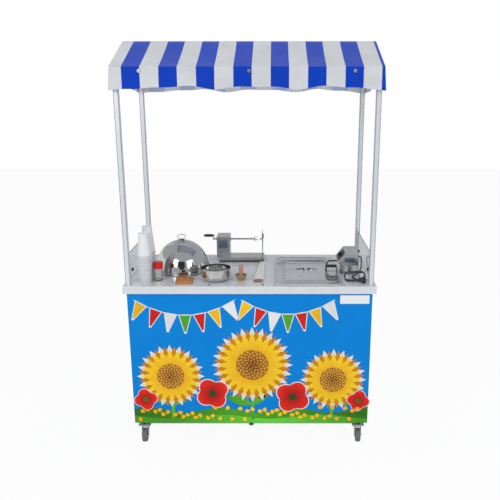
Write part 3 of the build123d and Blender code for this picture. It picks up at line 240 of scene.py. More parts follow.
def print_material(name, colour, edge, centre, reach):
    """Printed film whose ink deepens away from a point of the motif."""
    material = base_material(name, colour, 0.4, Specular_IOR_Level=0.15)
    place = add_node(material, "ShaderNodeTexCoord")
    gap = add_node(material, "ShaderNodeVectorMath", {0: place.outputs["Object"]}, operation="DISTANCE")
    gap.inputs[1].default_value = centre
    clouds = noise(material, 40.0, 4.0)
    wobble = add_node(material, "ShaderNodeMath", {0: clouds, 2: gap.outputs["Value"]}, operation="MULTIPLY_ADD")
    wobble.inputs[1].default_value = reach * 0.5
    fade = spread(material, wobble.outputs[0], 0, 1, reach * 0.3, reach * 1.25)
    paint(material, fade, colour, edge)
    emboss(material, noise(material, 500.0, 2.0), 0.03, 0.0002)
    return material


def wood_material(name, dark, light, along, roughness=0.55):
    """Wood with grain lines along one axis."""
    material = base_material(name, light, roughness)
    stretch = tuple(1.5 if axis == along else 18.0 for axis in "XYZ")
    grain = noise(material, 14.0, 6.0, stretch, 0.65)
    paint(material, spread(material, grain, 0, 1, 0.35, 0.65), dark, light)
    roughen(material, grain, roughness, roughness + 0.15)
    emboss(material, grain, 0.3, 0.0005)
    return material


def clear_material(name, colour, roughness, ior=1.45, weight=1.0):
    """Clear glass or plastic with faint smears."""
    material = base_material(name, colour, roughness, Transmission_Weight=weight, IOR=ior)
    smears = noise(material, 12.0, 4.0, (1, 1, 0.4))
    roughen(material, smears, roughness * 0.5, roughness * 2.0 + 0.02)
    return material


def profile_with_painted_shade(name, light, dark):
    """Extruded aluminium tube with painted shade towards its rounded corners."""
    material = mottled(name, light, 16.0, 0.03, 0.3, 0.35, 0.05)
    place = add_node(material, "ShaderNodeTexCoord")
    size = add_node(material, "ShaderNodeVectorMath", {0: place.outputs["Object"]}, operation="ABSOLUTE")
    offset = add_node(material, "ShaderNodeVectorMath", {0: size.outputs["Vector"]}, operation="SUBTRACT")
    offset.inputs[1].default_value = (*POST_CENTRE, 0)
    reach = add_node(material, "ShaderNodeVectorMath", {0: offset.outputs["Vector"]}, operation="ABSOLUTE")
    parts = add_node(material, "ShaderNodeSeparateXYZ", {"Vector": reach.outputs["Vector"]})
    corner_shade_mask = add_node(material, "ShaderNodeMath", {0: parts.outputs["X"], 1: parts.outputs["Y"]}, operation="MINIMUM")
    # Painted shade: each face turns to the darker colour near the tube's rounded corners.
    paint(material, spread(material, corner_shade_mask.outputs[0], 0, 1, 0.0072, 0.0105), light, dark)
    return material


def cup_material(name, colour, shadow, pitch, top):
    """White foam with painted shade in the grooves between the nested rims."""
    material = mottled(name, colour, 26.0, 0.02, 0.62, 0.0, 0.35, 420.0, Subsurface_Weight=0.05)
    place = add_node(material, "ShaderNodeTexCoord")
    parts = add_node(material, "ShaderNodeSeparateXYZ", {"Vector": place.outputs["Object"]})
    rise = add_node(material, "ShaderNodeMath", {0: parts.outputs["Z"]}, operation="SUBTRACT")
    rise.inputs[1].default_value = COUNTER + 0.0004
    step = add_node(material, "ShaderNodeMath", {0: rise.outputs[0]}, operation="MODULO")
    step.inputs[1].default_value = pitch
    # Painted shade: darker bands in the groove under each nested rim, up to the top cup's rim.
    groove_shade = spread(material, step.outputs[0], 0, 1, 0.0042, 0.0052)
    below = spread(material, parts.outputs["Z"], 1, 0, top - 0.0005, top)
    inside = add_node(material, "ShaderNodeMath", {0: groove_shade, 1: below}, operation="MULTIPLY")
    paint(material, inside.outputs[0], colour, shadow)
    return material


def make_finishes():
    """Every finish on the cart, by name."""
    c = colours()
    mottled("grey frame paint", (0.42, 0.43, 0.45), 14.0, 0.06, 0.42)
    mottled("zinc plate", (0.62, 0.62, 0.61), 60.0, 0.14, 0.34, 1.0, 0.2, 160.0)
    mottled("folded sheet steel", (0.60, 0.61, 0.63), 25.0, 0.07, 0.38, 1.0, 0.06)
    brushed_metal("brushed stainless", (0.58, 0.58, 0.585), "X", 0.27)
    brushed_metal("brushed stainless lid", (0.70, 0.705, 0.71), "Y", 0.2, 0.06)
    mottled("polished stainless", (0.57, 0.567, 0.56), 8.0, 0.03, 0.09, 1.0, 0.03, 90.0)
    mottled("dark bow steel", (0.26, 0.26, 0.255), 8.0, 0.06, 0.2, 1.0, 0.03, 90.0)
    mottled("white worktop", (0.70, 0.72, 0.735), 22.0, 0.035, 0.22, 0.0, 0.04, Coat_Weight=0.35)
    mottled("white aluminium", (0.74, 0.76, 0.79), 16.0, 0.03, 0.3, 0.35, 0.05)
    profile_with_painted_shade("post profile with painted corner shade", (0.78, 0.80, 0.82), (0.36, 0.39, 0.44))
    mottled("panel print ground", tuple(c.panel), 5.0, 0.025, 0.4, 0.0, 0.02, Specular_IOR_Level=0.12)
    mottled("blank label", (0.86, 0.86, 0.86), 30.0, 0.02, 0.45)
    cloth_material("blue stripe cloth", tuple(c.stripe))
    cloth_material("white ground cloth", tuple(c.cloth))
    # Painted light: the linings are paler than the outer cloth and stand in for light shining through the canopy.
    cloth_material("blue stripe lining with painted backlight", (0.56, 0.64, 0.86))
    cloth_material("white ground lining with painted backlight", (0.88, 0.89, 0.91))
    mottled("hem binding", (0.05, 0.11, 0.45), 80.0, 0.1, 0.7, 0.0, 0.4, 900.0)
    clear_material("clear side glass", (0.96, 0.99, 0.98), 0.02)
    clear_material("green glass edge", (0.45, 0.72, 0.62), 0.12, weight=0.6)
    clear_material("clear jar plastic", (0.97, 0.97, 0.96), 0.04, 1.4)
    clear_material("clear film", (0.95, 0.95, 0.94), 0.2, 1.25, 0.6)
    mottled("black plastic", (0.018, 0.018, 0.019), 50.0, 0.2, 0.42, 0.0, 0.2, 500.0)
    mottled("dark twister base", (0.06, 0.062, 0.066), 30.0, 0.15, 0.3, 0.6, 0.05)
    mottled("blank badge", (0.10, 0.15, 0.22), 60.0, 0.12, 0.35, 0.4, 0.05)
    mottled("black cord sheath", (0.040, 0.044, 0.052), 90.0, 0.2, 0.48, 0.0, 0.25, 700.0)
    s = sizes()
    cup_material("white foam cup", (0.80, 0.81, 0.82), (0.50, 0.52, 0.545), s.cup_pitch, COUNTER + s.cup_rims * s.cup_pitch)
    mottled("red cap plastic", tuple(c.cap), 40.0, 0.08, 0.38)
    mottled("browned wire", (0.115, 0.105, 0.095), 70.0, 0.25, 0.36, 1.0, 0.15, 260.0)
    mottled("heater iron", (0.09, 0.09, 0.09), 30.0, 0.2, 0.7, 0.4, 0.4, 200.0)
    mottled("grey tread", (0.15, 0.155, 0.165), 45.0, 0.12, 0.62, 0.0, 0.3, 240.0)
    mottled("grey wheel centre", (0.30, 0.31, 0.33), 45.0, 0.08, 0.4)
    mottled("mark black", (0.02, 0.02, 0.02), 60.0, 0.1, 0.5)
    wood_material("pale bamboo", (0.42, 0.25, 0.12), (0.72, 0.52, 0.33), "Y")
    wood_material("bowl wood", (0.26, 0.16, 0.075), (0.46, 0.32, 0.16), "X")
    wood_material("pestle wood", (0.36, 0.16, 0.11), (0.56, 0.30, 0.22), "Z")
    sponge = mottled("sponge foam", tuple(c.sponge), 35.0, 0.25, 0.9, 0.0, 0.5, 420.0)
    holes = add_node(sponge, "ShaderNodeTexVoronoi", {"Vector": object_place(sponge)}, Scale=230.0)
    emboss(sponge, holes.outputs["Distance"], 0.9, 0.0015)


# Modelling by hand

def deselect():
    """Leaves edit mode with nothing selected."""
    if bpy.context.mode != "OBJECT":
        bpy.ops.object.mode_set(mode="OBJECT")
    bpy.ops.object.select_all(action="DESELECT")


def edit_all():
    """Opens the active piece in edit mode with everything selected."""
    bpy.ops.object.mode_set(mode="EDIT")
    bpy.ops.mesh.select_all(action="SELECT")


def close_up(gap=TINY):
    """Merges doubles, points the faces outwards and leaves edit mode."""
    bpy.ops.mesh.select_all(action="SELECT")
    bpy.ops.mesh.remove_doubles(threshold=5 * gap)
    bpy.ops.mesh.normals_make_consistent(inside=False)
    bpy.ops.object.mode_set(mode="OBJECT")


def settle(name, finish, body="cart", replaced=(), smooth=40):
    """Applies the active piece's place, names it, finishes it and lets it ride on its body."""
    piece = bpy.context.view_layer.objects.active
    if bpy.context.mode != "OBJECT":
        bpy.ops.object.mode_set(mode="OBJECT")
    bpy.ops.object.transform_apply(location=True, rotation=True, scale=True)
    if smooth:
        bpy.ops.object.shade_smooth_by_angle(angle=radians(smooth))
    piece.name = name
    piece.data.name = name
    if finish:
        piece.data.materials.clear()
        piece.data.materials.append(finishes[finish])
    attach(piece, body)
    if replaced:
        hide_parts(*replaced)
    return piece


def lathe(profile, centre=(0, 0, 0), sides=64, turn=(0, 0, 0)):
    """Raises rings from a circle, one for each radius and height of the profile."""
    deselect()
    radius, height = max(profile[0][0], TINY), profile[0][1]
    bpy.ops.mesh.primitive_circle_add(vertices=sides, radius=radius, location=(0, 0, 0))
    edit_all()
    bpy.ops.transform.translate(value=(0, 0, height))
    for next_radius, next_height in profile[1:]:
        next_radius = max(next_radius, TINY)
        rise = (0, 0, next_height - height)
        bpy.ops.mesh.extrude_region_move(TRANSFORM_OT_translate={"value": rise})
        scale = next_radius / radius
        bpy.ops.transform.resize(value=(scale, scale, 1), center_override=(0, 0, next_height))
        radius, height = next_radius, next_height
    close_up()
    piece = bpy.context.view_layer.objects.active
    piece.rotation_euler = turn
    piece.location = centre
    return piece


def slab(low, high, bevel=0.001, segments=2):
    """A block between two corners with softened edges."""
    deselect()
    middle = [(a + b) / 2 for a, b in zip(low, high)]
    bpy.ops.mesh.primitive_cube_add(size=1, location=middle)
    bpy.context.view_layer.objects.active.scale = [b - a for a, b in zip(low, high)]
    bpy.ops.object.transform_apply(location=False, rotation=False, scale=True)
    if bevel:
        edit_all()
        bpy.ops.mesh.bevel(offset=bevel, segments=segments, affect="EDGES")
        close_up()
    return bpy.context.view_layer.objects.active


def curve_piece(points, radius, order=3, resolution=6, sides=4):
    """A round wire along control points, as a curve."""
    deselect()
    line = bpy.data.curves.new("wire", "CURVE")
    line.dimensions = "3D"
    line.bevel_depth = radius
    line.bevel_resolution = sides
    line.resolution_u = resolution
    line.use_fill_caps = True
    spline = line.splines.new("NURBS")
    spline.points.add(len(points) - 1)
    for control, place in zip(spline.points, points):
        control.co = (*place, 1)
    spline.order_u = order
    spline.use_endpoint_u = True
    piece = bpy.data.objects.new("wire", line)
    bpy.context.collection.objects.link(piece)
    piece.select_set(True)
    bpy.context.view_layer.objects.active = piece
    return piece


def wire(points, radius, order=3, resolution=6, sides=4):
    """The same wire, made a mesh."""
    curve_piece(points, radius, order, resolution, sides)
    bpy.ops.object.convert(target="MESH")
    return bpy.context.view_layer.objects.active


def joined(pieces):
    """Joins several pieces into one."""
    deselect()
    for piece in pieces:
        piece.select_set(True)
    bpy.context.view_layer.objects.active = pieces[0]
    bpy.ops.object.transform_apply(location=True, rotation=True, scale=True)
    bpy.ops.object.join()
    return bpy.context.view_layer.objects.active


def with_modifier(piece, kind, **settings):
    """Adds a modifier to the piece and applies it."""
    bpy.context.view_layer.objects.active = piece
    modifier = piece.modifiers.new(kind.title(), kind)
    for key, value in settings.items():
        setattr(modifier, key, value)
    bpy.ops.object.modifier_apply(modifier=modifier.name)
    return piece


def refinish(finish, *names):
    """Gives CAD nodes a better material."""
    for name in names:
        for slot in nodes[name].material_slots:
            slot.material = finishes[finish]


# Camera and cord

class CART_OT_camera(bpy.types.Operator):
    """Sets the camera where the photograph was taken from"""

    bl_idname = "cart.camera"
    bl_label = "Camera"

    def execute(self, context):
        lens = bpy.data.cameras.new("camera")
        lens.sensor_width = 36.0
        lens.lens = 45.67
        lens.shift_x = -0.0506
        lens.shift_y = 0.0322
        camera = bpy.data.objects.new("camera", lens)
        camera.location = (0.1317, -3.4114, 1.8826)
        camera.rotation_euler = (pi / 2 - 0.273, 0, 0)
        context.collection.objects.link(camera)
        context.scene.camera = camera
        return {"FINISHED"}


CORD_EXIT = (0.594, -0.030, 0.990)
HANK_LEFT, HANK_RIGHT = 0.495, 0.601
HANK_LOW, HANK_HIGH = 0.914, 0.958
HANK_BACK = -0.212
HANK_PITCH = 0.009
HANK_LOOPS = 3
PLUG_END = (0.561, -0.265, 0.9273)


def cord_route():
    """The cord from the gland to the counter, round the hank's loops and on to the plug."""
    low, high = HANK_LOW, HANK_HIGH
    route = [
        CORD_EXIT, (0.605, -0.030, 0.990), (0.606, -0.036, 0.975), (0.604, -0.055, 0.950),
        (0.598, -0.078, 0.932), (0.586, -0.104, 0.920), (0.568, -0.122, 0.915), (0.549, -0.138, low),
        (0.541, -0.160, low), (0.547, -0.184, low), (0.557, -0.204, low), (0.567, HANK_BACK, low),
    ]
    run = high - low
    for i in range(HANK_LOOPS):
        y = HANK_BACK - i * HANK_PITCH
        if i:
            route.append((HANK_LEFT + run, y, low))
            route.append((HANK_RIGHT - run, y, low))
        after = y - HANK_PITCH
        route += [
            (HANK_RIGHT, y, low), (HANK_RIGHT, y, high), (HANK_RIGHT - run, y - 0.004, high),
            (HANK_LEFT + run, after + 0.004, high), (HANK_LEFT, after, high), (HANK_LEFT, after, low),
        ]
    y = HANK_BACK - HANK_LOOPS * HANK_PITCH
    return route + [
        (0.520, y, low), (0.530, y, low), (0.539, -0.249, 0.917), (0.545, -0.261, 0.9253),
        (0.553, -0.265, 0.9273), PLUG_END,
    ]


class CART_OT_cord(bpy.types.Operator):
    """Lays the head's mains cord with its strain relief, wound hank and plug"""

    bl_idname = "cart.cord"
    bl_label = "Mains cord"

    def execute(self, context):
        half = sizes().cord_diameter / 2
        curve_piece(cord_route(), half, 3, 8, 4)
        flex = settle("mains_cord", "black cord sheath", replaced=("power_cord", "cord_hank"), smooth=0)
        lathe([(0, 0), (0.0165, 0), (0.017, 0.001), (0.017, 0.013), (0.0165, 0.0145), (0.0135, 0.020),
               (0.0115, 0.023), (0.0110, 0.030), (0.0085, 0.0355), (0.0055, 0.038), (0.0038, 0.0381), (0, 0.0381)],
              (PLUG_END[0] + 0.0381, PLUG_END[1], PLUG_END[2]), 40, (0, -pi / 2, 0))
        body = joined([bpy.context.view_layer.objects.active])
        pins = []
        for side in (-1, 1):
            place = (PLUG_END[0] + 0.0375, PLUG_END[1] + side * 0.0095, PLUG_END[2])
            pins.append(lathe([(0, 0), (0.0024, 0), (0.0024, 0.0165), (0.0014, 0.0188), (0, 0.019)], place, 16, (0, pi / 2, 0)))
        joined(pins)
        settle("plug_pins", "zinc plate")
        deselect()
        body.select_set(True)
        context.view_layer.objects.active = body
        plug = settle("mains_plug", "black plastic", replaced=("plug",))
        rings = [(0, 0), (0.007, 0), (0.007, 0.003)]
        for i in range(5):
            start = 0.004 + i * 0.002
            rings += [(0.0062 - i * 0.0003, start), (0.0066 - i * 0.0003, start + 0.0007), (0.0066 - i * 0.0003, start + 0.0013)]
        rings += [(0.0048, 0.0142), (0, 0.0142)]
        lathe(rings, (0.580, -0.030, 0.990), 32, (0, pi / 2, 0))
        settle("cord_relief", "black plastic", replaced=("cord_gland",))
        tie = [
            (0.5695, -0.2070, 0.936), (0.5695, -0.2070, 0.9625), (0.5695, -0.2260, 0.9640), (0.5695, -0.2430, 0.9625),
            (0.5695, -0.2440, 0.936), (0.5695, -0.2430, 0.9118), (0.5695, -0.2260, 0.9108), (0.5695, -0.2070, 0.9118),
            (0.5695, -0.2070, 0.936),
        ]
        wire(tie, 0.0011, 3, 8, 3)
        settle("hank_tie", "black plastic")
        return {"FINISHED"}


# Canopy

def stripe_edges():
    """Places of the stripes' edges along the canopy, from left to right."""
    s = sizes()
    edges = [-s.half_length]
    for i in range(7):
        left = -s.half_length + s.stripe_start + i * s.stripe_pitch
        edges += [left, left + s.stripe_width]
    return edges + [s.half_length]


def columns(edges, longest):
    """Places between the edges, no further apart than the longest step."""
    places = [edges[0]]
    for left, right in zip(edges, edges[1:]):
        steps = max(1, round((right - left) / longest))
        places += [left + (right - left) * (k + 1) / steps for k in range(steps)]
    return places


def roof_height(x, y):
    """Height of the cloth over the roof frame, with its sag between the rafters."""
    s = sizes()
    slope = (s.ridge_height - s.eave_height) / s.half_width
    soft = 0.012
    fall = slope * (hypot(y, soft) - soft) * s.half_width / (hypot(s.half_width, soft) - soft)
    bay = sin(pi * min(1.0, (abs(x) % 0.62) / 0.62))
    sag = 0.007 * bay * sin(pi * min(1.0, abs(y) / s.half_width)) ** 0.8 if abs(y) > TINY else 0.0
    return s.ridge_height - fall - sag


def hem_line(x, y):
    """Height of the hem below one place on the roof's edge."""
    s = sizes()
    near = max(0.0, 1 - hypot(s.half_length - abs(x), s.half_width - abs(y)) / 0.14)
    wave = 0.0062 * sin(2 * pi * x / 0.36 + 0.8) + 0.0038 * sin(2 * pi * x / 0.2 + y * 9) + 0.004 * sin(2 * pi * y / 0.31)
    back = 0.020 * (y + s.half_width) / (2 * s.half_width)
    return s.hem_height + wave * (1 - near) - s.corner_drop * near ** 1.5 - back


def push_out(x, y, fall):
    """How far the valance stands out from the roof's edge at one share of its fall."""
    s = sizes()
    flare = 0.006 * fall
    along = 0.0045 * sin(2 * pi * (x + 0.2) / 0.27) + 0.002 * sin(2 * pi * x / 0.11)
    across = 0.0045 * sin(2 * pi * (y + 0.1) / 0.24)
    at_side = s.half_width - abs(y) < TINY
    at_end = s.half_length - abs(x) < TINY
    dx = (flare + across * fall) * (1 if x > 0 else -1) if at_end else 0.0
    dy = (flare + along * fall) * (1 if y > 0 else -1) if at_side else 0.0
    return dx, dy


class CART_OT_canopy(bpy.types.Operator):
    """Cuts, hangs and stripes the canopy cloth"""

    bl_idname = "cart.canopy"
    bl_label = "Canopy cloth"

    def execute(self, context):
        s = sizes()
        xs = columns(stripe_edges(), 0.0145)
        ys = columns([-s.half_width, -0.02, 0.0, 0.02, s.half_width], 0.021)
        deselect()
        bpy.ops.mesh.primitive_grid_add(x_subdivisions=len(xs) - 1, y_subdivisions=len(ys) - 1, size=1)
        cloth = context.view_layer.objects.active
        mesh = cloth.data
        if len(mesh.vertices) != len(xs) * len(ys):
            raise RuntimeError("the canopy grid has another number of points")
        for vertex in mesh.vertices:
            x, y = xs[vertex.index % len(xs)], ys[vertex.index // len(xs)]
            vertex.co = (x, y, roof_height(x, y))
        falls = (0.025, 0.07, 0.16, 0.28, 0.40, 0.52, 0.64, 0.76, 0.86, 0.94, 1.0)
        edit_all()
        bpy.ops.mesh.region_to_loop()
        ring_starts = [len(mesh.vertices)]
        for _ in falls:
            bpy.ops.mesh.extrude_region_move(TRANSFORM_OT_translate={"value": (0, 0, -0.004)})
        bpy.ops.object.mode_set(mode="OBJECT")
        edge_count = (len(mesh.vertices) - ring_starts[0]) // len(falls)
        for vertex in list(mesh.vertices)[ring_starts[0]:]:
            fall = falls[(vertex.index - ring_starts[0]) // edge_count]
            x, y = vertex.co.x, vertex.co.y
            top, hem = roof_height(x, y), hem_line(x, y)
            dx, dy = push_out(x, y, fall)
            vertex.co = (x + dx, y + dy, top + (hem - top) * fall)
        mesh.materials.clear()
        mesh.materials.append(finishes["white ground cloth"])
        mesh.materials.append(finishes["blue stripe cloth"])
        # The paler linings carry painted light shining through the cloth.
        mesh.materials.append(finishes["white ground lining with painted backlight"])
        mesh.materials.append(finishes["blue stripe lining with painted backlight"])
        for face in mesh.polygons:
            if abs(face.normal.x) > 0.9:
                offset = (face.center.y + s.half_width + 0.05) % s.stripe_pitch
            else:
                offset = (face.center.x + s.half_length - s.stripe_start) % s.stripe_pitch
                if face.center.x < s.stripe_start - s.half_length:
                    offset = s.stripe_pitch
            face.material_index = 1 if offset < s.stripe_width else 0
        edit_all()
        bpy.ops.mesh.normals_make_consistent(inside=False)
        bpy.ops.object.mode_set(mode="OBJECT")
        with_modifier(cloth, "SOLIDIFY", thickness=0.0008, offset=-1.0, material_offset=2)
        settle("canopy_cloth", None, replaced=("canopy_cover",), smooth=50)
        return {"FINISHED"}


# Counter ware

class CART_OT_cups(bpy.types.Operator):
    """Stacks the foam cups in their two towers"""

    bl_idname = "cart.cups"
    bl_label = "Foam cups"

    def execute(self, context):
        s = sizes()
        towers = (
            ("front_cup_tower", "front_cups", (-0.542, -0.252), 0.264),
            ("rear_cup_tower", "rear_cups", (-0.540, -0.164), 0.282),
        )
        for name, node, place, height in towers:
            rings = [(0, 0.0004), (0.0268, 0.0004)]
            for i in range(s.cup_rims):
                radius = 0.0295 + i * 0.010 / (s.cup_rims - 1)
                z = i * s.cup_pitch + 0.0004
                lean = 0.0022
                rings += [
                    (radius - 0.0010, z), (radius, z + 0.0008), (radius, z + 0.0030), (radius - 0.0010, z + 0.0039),
                    (radius - lean, z + 0.0045), (radius - lean - 0.0004, z + s.cup_pitch - 0.0008),
                ]
            top = height - 0.0004
            rings += [(0.0374, s.cup_rims * s.cup_pitch), (0.0243, top - 0.0012), (0.0235, top), (0.0221, top),
                      (0.0214, top - 0.0010), (0.0210, top - 0.0050), (0, top - 0.0050)]
            lathe(rings, (*place, COUNTER), 72)
            settle(name, "white foam cup", node, (node,))
        return {"FINISHED"}


class CART_OT_jar(bpy.types.Operator):
    """Blows the clear jar and screws on its cap"""

    bl_idname = "cart.jar"
    bl_label = "Jar"

    def execute(self, context):
        place = (-0.4815, -0.214, COUNTER + 0.0003)
        rings = [
            (0, 0), (0.0205, 0), (0.0225, 0.0015), (0.023, 0.0035), (0.0228, 0.030), (0.023, 0.052), (0.0224, 0.0585),
            (0.0205, 0.0635), (0.0192, 0.066), (0.0192, 0.083), (0.0180, 0.083), (0.0180, 0.0655), (0.0190, 0.0625),
            (0.0208, 0.0575), (0.0213, 0.050), (0.0211, 0.030), (0.0213, 0.0045), (0.0195, 0.0022), (0, 0.0022),
        ]
        lathe(rings, place, 56)
        settle("jar_body", "clear jar plastic", "jar", ("jar",))
        rings = [
            (0.0206, 0), (0.0248, 0), (0.0252, 0.0010), (0.0252, 0.0040), (0.0252, 0.0310), (0.0246, 0.0330),
            (0.0230, 0.0340), (0, 0.0340), (0, 0.0322), (0.0206, 0.0322), (0.0206, 0),
        ]
        cap = lathe(rings, (place[0], place[1], place[2] + 0.0664), 60)
        edit_all()
        bpy.ops.mesh.select_all(action="DESELECT")
        bpy.ops.object.mode_set(mode="OBJECT")
        for face in cap.data.polygons:
            middle = face.center
            face.select = 0.006 < middle.z < 0.030 and hypot(middle.x, middle.y) > 0.0245
        bpy.ops.object.mode_set(mode="EDIT")
        bpy.ops.mesh.inset(thickness=0.0004, depth=-0.0005, use_individual=True)
        bpy.ops.object.mode_set(mode="OBJECT")
        settle("jar_cap", "red cap plastic", "jar", smooth=25)
        return {"FINISHED"}


class CART_OT_sponge(bpy.types.Operator):
    """Cuts the cleaning sponge"""

    bl_idname = "cart.sponge"
    bl_label = "Sponge"

    def execute(self, context):
        piece = slab((-0.045, -0.049, 0), (0.045, 0.049, 0.0235), 0.0035, 3)
        edit_all()
        bpy.ops.mesh.subdivide(number_cuts=14)
        bpy.ops.object.mode_set(mode="OBJECT")
        with_modifier(piece, "REMESH", mode="VOXEL", voxel_size=0.0016)
        pores = bpy.data.textures.new("pores", "CLOUDS")
        pores.noise_scale = 0.009
        with_modifier(piece, "DISPLACE", texture=pores, strength=0.0026, mid_level=0.62, texture_coords="LOCAL")
        piece.location = (-0.344, -0.238, COUNTER + 0.0012)
        piece.rotation_euler = (0, 0, radians(4))
        soft = settle("sponge_block", "sponge foam", "sponge", ("sponge",), 60)
        return {"FINISHED"}


class CART_OT_bowls(bpy.types.Operator):
    """Spins the steel bowl and turns the wooden bowl with its pestle"""

    bl_idname = "cart.bowls"
    bl_label = "Bowls and pestle"

    def execute(self, context):
        outside = [(0, 0.0012), (0.040, 0.0012), (0.045, 0.0), (0.050, 0.0)]
        for i in range(1, 9):
            turn = pi / 2 * i / 8
            outside.append((0.050 + 0.0275 * sin(turn), 0.026 * (1 - cos(turn))))
        outside += [(0.0778, 0.050), (0.0778, 0.0635), (0.0790, 0.0640), (0.0792, 0.0652), (0.0785, 0.0660), (0.0772, 0.0658)]
        inside = [(0.0768, 0.0640), (0.0768, 0.050)]
        for i in range(8, 0, -1):
            turn = pi / 2 * i / 8
            inside.append((0.049 + 0.0275 * sin(turn), 0.0010 + 0.026 * (1 - cos(turn))))
        inside += [(0.049, 0.0012), (0.045, 0.0012), (0.040, 0.0024), (0, 0.0024)]
        lathe(outside + inside, (-0.182, -0.198, COUNTER + 0.0003), 96)
        settle("steel_bowl", "polished stainless", "mixing_bowl", ("mixing_bowl",))
        rings = [
            (0, 0.0010), (0.0150, 0.0010), (0.0165, 0), (0.0178, 0.0003), (0.0182, 0.0030), (0.0200, 0.0080),
            (0.0265, 0.0190), (0.0308, 0.0265), (0.0315, 0.0290), (0.0308, 0.0300), (0.0285, 0.0300), (0.0275, 0.0285),
            (0.0235, 0.0200), (0.0165, 0.0100), (0.0100, 0.0078), (0, 0.0078),
        ]
        lathe(rings, (-0.0485, -0.209, COUNTER + 0.0003), 56)
        settle("wooden_bowl", "bowl wood", "pestle_bowl", ("pestle_bowl",))
        rings = [
            (0, 0), (0.0105, 0), (0.0118, 0.0015), (0.0122, 0.0100), (0.0112, 0.0240), (0.0104, 0.0380), (0.0110, 0.0520),
            (0.0118, 0.0620), (0.0110, 0.0690), (0.0085, 0.0725), (0.0045, 0.0740), (0, 0.0742),
        ]
        lathe(rings, (-0.0485, -0.209, COUNTER + 0.0086), 40)
        settle("wooden_pestle", "pestle wood", "pestle_bowl")
        return {"FINISHED"}


class CART_OT_skewers(bpy.types.Operator):
    """Cuts the bamboo skewers and slips them into their clear bag"""

    bl_idname = "cart.skewers"
    bl_label = "Skewers"

    def execute(self, context):
        front, back = (0.041, -0.262), (0.056, 0.130)
        radius = 0.0025
        sticks = []
        for layer, count in enumerate((6, 5)):
            for i in range(count):
                shift = (i - (count - 1) / 2) * 0.009
                x0, x1 = front[0] + shift, back[0] + shift / 2
                run, rise = hypot(x1 - x0, back[1] - front[1]), atan2(x1 - x0, back[1] - front[1])
                slip = 0.004 * sin(3.7 * i + 2 * layer)
                rings = [(0, 0), (0.0006, 0.0002), (radius * 0.9, 0.013), (radius, 0.016), (radius, run - 0.012),
                         (radius * 0.9, run - 0.0105), (0, run - 0.0105)]
                z = COUNTER + 0.0003 + radius + layer * (2 * radius + 0.0003)
                sticks.append(lathe(rings, (x0, front[1] + 0.005 + slip, z), 10, (-pi / 2, 0, -rise)))
        joined(sticks)
        settle("skewer_bundle", "pale bamboo", "skewers", ("skewers",))
        rings = [(0.0245, 0), (0.0262, 0.006), (0.0252, 0.045), (0.0240, 0.11), (0.0212, 0.19), (0.0190, 0.27),
                 (0.0172, 0.325), (0.0150, 0.345), (0.0162, 0.352)]
        bag = lathe(rings, (0, 0, 0), 48)
        edit_all()
        bpy.ops.mesh.subdivide(number_cuts=3)
        bpy.ops.object.mode_set(mode="OBJECT")
        bag.scale = (1, 0.235, 1)
        bpy.ops.object.transform_apply(location=False, rotation=False, scale=True)
        folds = bpy.data.textures.new("film folds", "CLOUDS")
        folds.noise_scale = 0.021
        with_modifier(bag, "DISPLACE", texture=folds, strength=0.0016, mid_level=0.5, texture_coords="LOCAL")
        bag.rotation_euler = (-pi / 2, 0, -atan2(back[0] - front[0], back[1] - front[1]))
        bag.location = (front[0] + 0.002, front[1] + 0.035, COUNTER + 0.0073)
        settle("skewer_bag", "clear film", "skewers", smooth=60)
        return {"FINISHED"}


# Steamer, tank and tools

